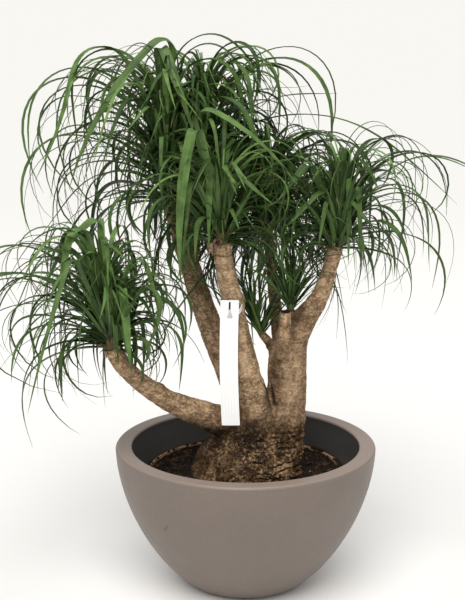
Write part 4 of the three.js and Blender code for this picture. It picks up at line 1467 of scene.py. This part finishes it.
def young_leaves(head, count):
    """Broad leaves at the middle, which stand up and have hardly begun to bend."""
    i = np.arange(count)
    seed = head["seed"] + 5000 + i
    azimuth = head["turn"] + 60 + i * GOLDEN_ANGLE
    front = in_front(azimuth)
    up = mix(-0.04, 0.9, draw(seed, 8) ** 1.5)
    length = head["reach"] * mix(0.4, 0.75, draw(seed, 4)) * mix(1, 0.52, up)
    return leaves_with(
        count,
        azimuth=azimuth,
        rise=mix(58, 88, up) + spread(seed, 2, 7),
        fall=mix(mix(-55, 20, draw(seed, 3)), 45, 0.8 * front),
        length=length * (1 - 0.25 * front),
        bend=mix(0.6, 0.85, draw(seed, 5)),
        curl=mix(0.3, 0.7, draw(seed, 6)),
        width=mix(6.5, 12.5, draw(seed, 7)) * min(1, head["reach"] / 270),
        up=up,
        hook=spread(seed, 12, 30),
        roll=spread(seed, 13, 25),
        sway=spread(seed, 9, 12),
        twist=spread(seed, 10, 40),
        tint=0.03 + 0.5 * draw(seed, 11) ** 2,
        taper=0.8,
    )


def dry_scales(head, count):
    """The short brown feet of lost leaves, which stand round the tip of the stem."""
    i = np.arange(count)
    seed = head["seed"] + 9000 + i
    bent_back = draw(seed, 2) > 0.82
    radius = head["core"][0]
    return leaves_with(
        count,
        azimuth=head["turn"] + i * GOLDEN_ANGLE,
        rise=np.where(bent_back, 35, mix(62, 84, draw(seed, 3))),
        fall=np.where(bent_back, -60, 30),
        length=radius * mix(1.6, 3.3, draw(seed, 4)),
        bend=0.6,
        curl=0.7,
        width=radius * mix(0.5, 0.95, draw(seed, 5)),
        up=mix(-0.14, 0.16, draw(seed, 6)),
        twist=spread(seed, 7, 50),
        tint=draw(seed, 8),
        taper=0.8,
        dry=1,
    )


# %% Listed leaves, and each head's whole list
def by_hand(rows, **columns):
    return leaves_with(len(rows), **dict(zip(FIELDS, zip(*rows))), taper=0.4, **columns)


def chosen_leaves(head):
    """Their width faces the viewer at the sides, so each is rolled by where it stands."""
    leaves = by_hand(head["chosen"], fixed=1)
    bent_over_itself = leaves["fall"] > 90
    leaves["roll"] = 50 * np.cos(np.radians(leaves["azimuth"])) * np.where(bent_over_itself, -1, 1)
    return leaves


for head in HEADS:
    head["leaves"] = np.concatenate([
        chosen_leaves(head),
        young_leaves(head, head["young"]),
        ruled_leaves(head, head["ruled"], 0, (3.0, 10.5), 40),
        ruled_leaves(head, head["wisps"], 7000, (1.9, 3.8), 80),
        dry_scales(head, head["scales"]),
        by_hand(head["peels"], dry=1),
    ])
print("leaves wanted:", sum(len(head["leaves"]) for head in HEADS))

# %% [markdown]
# ## From numbers to a curve
# Along a leaf the slope goes smoothly from its rise to its fall, and adding up small steps in
# that direction gives its middle line. The places for the mesh's cross sections are then chosen
# so that they lie close together where the leaf bends and far apart where it is straight.

# %% Middle lines
FINE_STEPS = 90
STATIONS = 20
BEND_WEIGHT = 0.5
ROOT_DEPTH = 0.45


def level_direction(heading):
    return np.stack([np.cos(heading), np.sin(heading), np.zeros_like(heading)], axis=-1)


def directions(leaves, share):
    """Which way each leaf runs at those shares of its length, and how far it has turned over."""
    column = {field: leaves[field][:, None] for field in FIELDS}
    bend, curl = column["bend"], column["curl"]
    turned_over = smooth_step(share, bend - curl / 2, bend + curl / 2)
    slope = mix(column["rise"], column["fall"], turned_over)
    slope = np.radians(slope + column["hook"] * np.clip((share - bend) / (1 - bend), 0, 1))
    heading = np.radians(column["azimuth"] + column["sway"] * share ** 1.5)
    ahead = level_direction(heading) * np.cos(slope)[..., None]
    ahead[..., 2] = np.sin(slope)
    return ahead, level_direction(heading + math.pi / 2), turned_over


def leaf_lines(head, leaves):
    share = np.broadcast_to(np.linspace(0, 1, FINE_STEPS + 1), (len(leaves), FINE_STEPS + 1))
    ahead, _, turned_over = directions(leaves, share)
    core_radius = head["core"][0] * np.interp(leaves["up"], *zip(*CORE_SHAPE))
    roots = head["root"] + head["along"] * (head["core"][1] * leaves["up"])[:, None]
    roots = roots + level_direction(np.radians(leaves["azimuth"])) * (ROOT_DEPTH * core_radius)[:, None]
    steps = ahead * (leaves["length"] / FINE_STEPS)[:, None, None]
    places = roots[:, None] + np.cumsum(steps, axis=1) - steps
    progress = mix(share, turned_over, BEND_WEIGHT)
    wanted = np.linspace(0, 1, STATIONS + 1)
    shares = np.array([np.interp(wanted, row, share[0]) for row in progress])
    lines = np.array([
        [np.interp(at, share[0], line[:, axis]) for axis in range(3)]
        for at, line in zip(shares, places)
    ]).transpose(0, 2, 1)
    return lines, shares

# %% [markdown]
# ## Keeping the leaves clear
# A leaf may touch its neighbours, as on the plant, but it must not run through a stem, the label,
# another head's heart or the bowl, nor reach outside the frame's box. One that does is turned
# aside a little, then shortened, and is left out only if nothing helps. Before that, the leaves
# of a head are shortened step by step until they keep inside its dome.

# %% Bars that leaves avoid
LABEL_BERTH = 16  # as a bar, the label is this thick all round
HEART_BERTH = 1.3  # share of the core's radius
OWN_HEART = 8  # the column that tells whose heart a bar is


def bars():
    """Rounded bars: start, its radius, end, its radius, and the head whose heart it is."""
    rows = []
    for points in LIMBS.values():
        rows += [(*first, *second, -1) for first, second in zip(points, points[1:])]
    for number, head in enumerate(HEADS):
        tip = head["root"] + head["along"] * head["core"][1]
        radius = HEART_BERTH * head["core"][0]
        rows.append((*head["root"], radius, *tip, radius, number))
    low = np.array(LABEL["top"]) - [0, LABEL["forward"], LABEL["length"]]
    rows.append((*LABEL["top"], LABEL_BERTH, *low, LABEL_BERTH, -1))
    return np.array(rows, dtype=float)


BARS = bars()


def gap_to_bars(places, number):
    """The distance from each place to the nearest bar's surface, its own head's heart left out."""
    nearest = np.full(places.shape[:-1], FAR_AWAY)
    for bar in BARS[BARS[:, OWN_HEART] != number]:
        share, offset = beside_line(places, bar[:3], bar[4:7] - bar[:3])
        nearest = np.minimum(nearest, np.linalg.norm(offset, axis=-1) - mix(bar[3], bar[7], share))
    return nearest


# %% Clear of stems, bowl and box
BOX_SLACK = 9.0  # millimetres that leaf tips may stand outside the frame's box
BOX_LOW = np.array(CAD_BOX[0]) / MM - BOX_SLACK
BOX_HIGH = np.array(CAD_BOX[1]) / MM + BOX_SLACK
BOWL_BERTH = (6, 5)  # beside the rim and above it
LEAF_FOOT_SHARE = 0.14  # this much of a leaf may lie against the stem that it grows on
TURNS = (0, 5, -5, 10, -10, 16, -16, 24, -24, 34, -34)
SHORTER = (1, 0.86, 0.72, 0.58, 0.45)
DOME_POWER = 1.9  # 2 would be a ball, and less makes flatter shoulders
DOME_STEPS = 8
DOME_STEP = 0.93  # share of the length that each step leaves


def are_clear(number, head, leaves):
    lines, shares = leaf_lines(head, leaves)
    beyond = ((lines < BOX_LOW) | (lines > BOX_HIGH)).any(axis=(1, 2))
    beside = np.hypot(lines[..., 0], lines[..., 1]) < BOWL["rim_radius"] + BOWL_BERTH[0]
    in_bowl = (beside & (lines[..., 2] < BOWL["height"] + BOWL_BERTH[1])).any(axis=1)
    gaps = gap_to_bars(lines, number) - 0.5 * leaves["width"][:, None] - 1
    touching = ((gaps < 0) & (shares > LEAF_FOOT_SHARE)).any(axis=1)
    return ~(beyond | in_bowl | touching)


def past_dome(head, leaves):
    middle, half_sizes = head["dome"]
    lines = leaf_lines(head, leaves)[0] - np.array(middle)
    lines[..., 2] = np.maximum(lines[..., 2], 0)
    away = (np.abs(lines) / half_sizes) ** DOME_POWER
    return (away.sum(axis=-1) > 1).any(axis=1)


def keep_in_dome(head):
    leaves = head["leaves"]
    for _ in range(DOME_STEPS):
        leaves["length"][past_dome(head, leaves) & (leaves["fixed"] == 0)] *= DOME_STEP


def cleared(number, head):
    leaves = head["leaves"]
    kept = leaves.copy()
    waiting = np.flatnonzero(leaves["dry"] == 0)  # dry scales may touch the stem that they grew on
    for share in SHORTER:
        for turn in TURNS:
            tried = leaves[waiting].copy()
            tried["azimuth"] += turn
            tried["length"] *= share
            clear = are_clear(number, head, tried)
            kept[waiting[clear]] = tried[clear]
            waiting = waiting[~clear]
            if not len(waiting):
                return kept
    return np.delete(kept, waiting)


for number, head in enumerate(HEADS):
    wanted = len(head["leaves"])
    if head["dome"]:
        keep_in_dome(head)
    head["leaves"] = cleared(number, head)
    print(head["node"], "keeps", len(head["leaves"]), "of", wanted, "leaves")

# %% [markdown]
# ## From a curve to a blade
# A real leaf is a strap with a shallow channel along its middle and a thin keel below it. It is
# broad near its foot and runs out into a thread. Each cross section here has four corners: the
# two edges, the bottom of the channel and the keel. Joined along the leaf they make a closed,
# thin solid, so the blade has a true underside and edge. Every point also keeps where it lies
# along and across its leaf, for the colour and the veins.

# %% Shape the blades
CHANNEL = 26  # degrees that each half of a blade is tipped up at its foot
KEEL = 0.9  # millimetres, on the broadest leaves
FOOT_WIDTH = 0.55  # share of the full width
FOOT_LENGTH = 0.12  # share of the length in which a blade would widen from nought to its full width
TIP_WIDTH = 0.03  # share of the full width


def blade_width(leaves, shares):
    foot = np.minimum(1, FOOT_WIDTH + shares / FOOT_LENGTH)
    tip = ((1 - shares) / leaves["taper"][:, None]).clip(0, 1) ** 0.85
    return leaves["width"][:, None] * np.minimum(foot, mix(TIP_WIDTH, 1, tip))


def blade_rings(head, leaves):
    """For each leaf, cross sections of an edge, the channel, the other edge and the keel."""
    lines, shares = leaf_lines(head, leaves)
    ahead, across, turned_over = directions(leaves, shares)
    under = np.cross(across, ahead)
    roll = leaves["roll"][:, None] * smooth_step(shares, 0.0, 0.3) * (1 - 2 * turned_over)
    twist = np.radians(roll + leaves["twist"][:, None] * shares ** 1.3)[..., None]
    side = across * np.cos(twist) + under * np.sin(twist)
    below = under * np.cos(twist) - across * np.sin(twist)
    half = (blade_width(leaves, shares) / 2)[..., None]
    tipped = np.radians(CHANNEL * (1 - 0.6 * shares))[..., None]
    out, raised = side * half * np.cos(tipped), below * half * np.sin(tipped)
    keel = np.minimum(KEEL, 0.25 + half * 0.12)
    corners = [lines + out - raised, lines, lines - out - raised, lines + below * keel]
    return np.stack(corners, axis=2), shares


def blades(head):
    """Points and faces of a head's leaves, and the facts that their colour needs."""
    leaves = head["leaves"]
    rings, shares = blade_rings(head, leaves)
    numbers = np.arange(rings[..., 0].size).reshape(rings.shape[:3])
    sides = walls(numbers[:, :-1], numbers[:, 1:])
    quads = np.concatenate([sides, numbers[:, 0], numbers[:, -1, ::-1]])
    corner = np.ones(rings.shape[:3])
    facts = {name: corner * leaves[name][:, None, None] for name in ("tint", "age", "dry")}
    facts["along"] = corner * shares[..., None]
    facts["side"] = corner * [-1, 0, 1, 0]
    facts["keel"] = corner * [0, 0, 0, 1]
    return rings.reshape(-1, 3), quads, facts


# %% Build the heads
def heart(head):
    """The slim core that the leaves stand out of."""
    along, (radius, length) = head["along"], head["core"]
    side = np.cross([0, 1, 0], along)
    side = side / np.linalg.norm(side)
    around = circle_of(HEART_SIDES) @ [side, np.cross(along, side)]
    rings = []
    for up, size in HEART_SHAPE:
        rings.append(head["root"] + along * (HEART_LIFT + length * up) + radius * size * around)
    return skin(rings)


def build_head(head, material):
    blade_points, blade_quads, facts = blades(head)
    core = heart(head)
    points, quads, triangles, _ = joined([(blade_points, blade_quads, []), core])
    made = mesh_object(head["node"] + "_leaves", points, quads, triangles)
    heart_facts = {name: np.zeros(len(core[0])) for name in facts}
    heart_facts["along"] += 0.5
    heart_facts["dry"][:HEART_SIDES] = 1
    for name, values in facts.items():
        store(made, name, np.concatenate([values.ravel(), heart_facts[name]]))
    made.data.set_sharp_from_angle(angle=math.radians(60))
    dress(made, [material])
    settle(made, head["node"])

# %% [markdown]
# ## The leaf's colours
# From near, a leaf is not one green. It is pale at its foot, deep green along the blade, a
# little yellower where it is young, and often straw-coloured at its dry tip. Its underside is
# greyer. The duller leaves are painted darker low down, as painted shade deep inside the head.
# Fine veins run its whole length, and they break up the sheen that the light leaves on
# it. All of these follow the numbers kept on the blade.

# %% Paint the leaves
LEAF_DEEP = (0.005, 0.017, 0.002, 1)
LEAF_MID = (0.032, 0.080, 0.010, 1)
LEAF_YOUNG = (0.185, 0.310, 0.088, 1)
LEAF_UNDER = (0.060, 0.098, 0.036, 1)
LEAF_FOOT = (0.100, 0.160, 0.042, 1)
LEAF_DRY = (0.210, 0.165, 0.095, 1)
SCALE_BROWN = (0.090, 0.052, 0.028, 1)
SCALE_TAN = (0.400, 0.280, 0.175, 1)
VEINS = 30.0  # radians of wave over half a blade


def leaf_green():
    paint = Material("leaf_green")
    along, side = paint.stored("along"), paint.stored("side")
    tint, dry = paint.stored("tint"), paint.stored("dry")
    clouds = paint.mottle(26.0, 2.2)
    young_green_less_in_shade = paint.times(tint, paint.ramp(paint.stored("age"), 0.0, 0.85, 0.9, 0.35))
    young_green_less_in_shade = paint.times(young_green_less_in_shade, paint.ramp(clouds, 0.1, 0.9, 0.6, 1.5), clamp=True)
    old = paint.ramp(tint, 0.05, 0.5, 1.0, 0.0)
    dry_from = paint.ramp(tint, 0.05, 0.35, 0.90, 1.05)
    colour = paint.layers(
        LEAF_DEEP,
        (clouds, LEAF_MID),
        (young_green_less_in_shade, LEAF_YOUNG),
        (paint.times(paint.stored("keel"), 0.55), LEAF_UNDER),
        (paint.ramp(paint.maths("ABSOLUTE", side), 0.0, 0.14, 0.3, 0.0), LEAF_YOUNG),
        # painted shade: the lower part of the duller leaves is darkened, as deep inside the head
        (paint.times(paint.ramp(along, 0.1, 0.5, 0.6, 0.0), old), LEAF_DEEP),
        (paint.ramp(along, 0.0, 0.07, 0.4, 0.0), LEAF_FOOT),
        (paint.ramp(paint.maths("SUBTRACT", along, dry_from), -0.03, 0.05), LEAF_DRY),
        (dry, paint.blend(paint.times(tint, clouds), SCALE_BROWN, SCALE_TAN)),
    )
    veins = paint.maths("SINE", paint.times(side, VEINS))
    relief = paint.maths("ADD", paint.times(veins, 0.5), paint.grain(2.5))
    sheen = paint.ramp(clouds, 0.0, 1.0, 0.27, 0.40)
    roughness = paint.maths("ADD", sheen, paint.times(dry, 0.55), clamp=True)
    return paint.finish(colour, roughness, relief, 0.12, specular=0.22)


leaf_material = leaf_green()
for head in HEADS:
    build_head(head, leaf_material)

# %% [markdown]
# ## Floor and light
# The floor is pale and runs far past the frame, so no edge of it shows. It is painted paler
# under the plant, as painted light that lifts the bowl's shadow, and a little darker far off.
# The light is a bright, even sky, as in a white studio, and one very broad lamp high in front,
# which gives the leaves their sheen and lets the bowl's shadow fade out softly.

# %% Set the stage
FLOOR_REACH = 60000
# painted light: the floor is paler near the plant, which lifts the bowl's shadow
FLOOR_PAINTED_LIGHT = (0.88, 0.875, 0.86, 1)  # the floor is a little paler under the plant
FLOOR_BESIDE = (0.785, 0.781, 0.765, 1)
FLOOR_FAR = (0.700, 0.696, 0.676, 1)
SKY_COLOUR = (1.0, 0.995, 0.985, 1)
SKY_STRENGTH = 0.72
LAMP_COLOUR = (1.0, 0.985, 0.96)
LAMP_STRENGTH = 2.5
LAMP_BREADTH = 45  # degrees of the sky that it fills
LAMP_TILT = (33, -6)  # degrees towards the viewer and sideways

corners = [(x * FLOOR_REACH, y * FLOOR_REACH, 0) for x, y in ((-1, -1), (1, -1), (1, 1), (-1, 1))]
floor = mesh_object("floor", corners, [(0, 1, 2, 3)])
paint = Material("pale_floor")
away = paint.length(paint.place())
colour = paint.layers(
    FLOOR_PAINTED_LIGHT,
    (paint.ramp(away, 0.2, 0.4), FLOOR_BESIDE),
    (paint.ramp(away, 1.0, 4.0), FLOOR_FAR),
)
dress(floor, [paint.finish(colour, 0.7)])

world = bpy.data.worlds.new("studio")
world.use_nodes = True
sky = world.node_tree.nodes["Background"].inputs
sky["Color"].default_value = SKY_COLOUR
sky["Strength"].default_value = SKY_STRENGTH
bpy.context.scene.world = world

lamp_data = bpy.data.lights.new("broad_lamp", "SUN")
lamp_data.energy = LAMP_STRENGTH
lamp_data.angle = math.radians(LAMP_BREADTH)
lamp_data.color = LAMP_COLOUR
lamp = bpy.data.objects.new("broad_lamp", lamp_data)
lamp.rotation_euler = (math.radians(LAMP_TILT[0]), math.radians(LAMP_TILT[1]), 0)
bpy.context.scene.collection.objects.link(lamp)

bpy.context.scene.view_settings.view_transform = "Standard"
print("stage:", floor.name, "and", lamp.name)
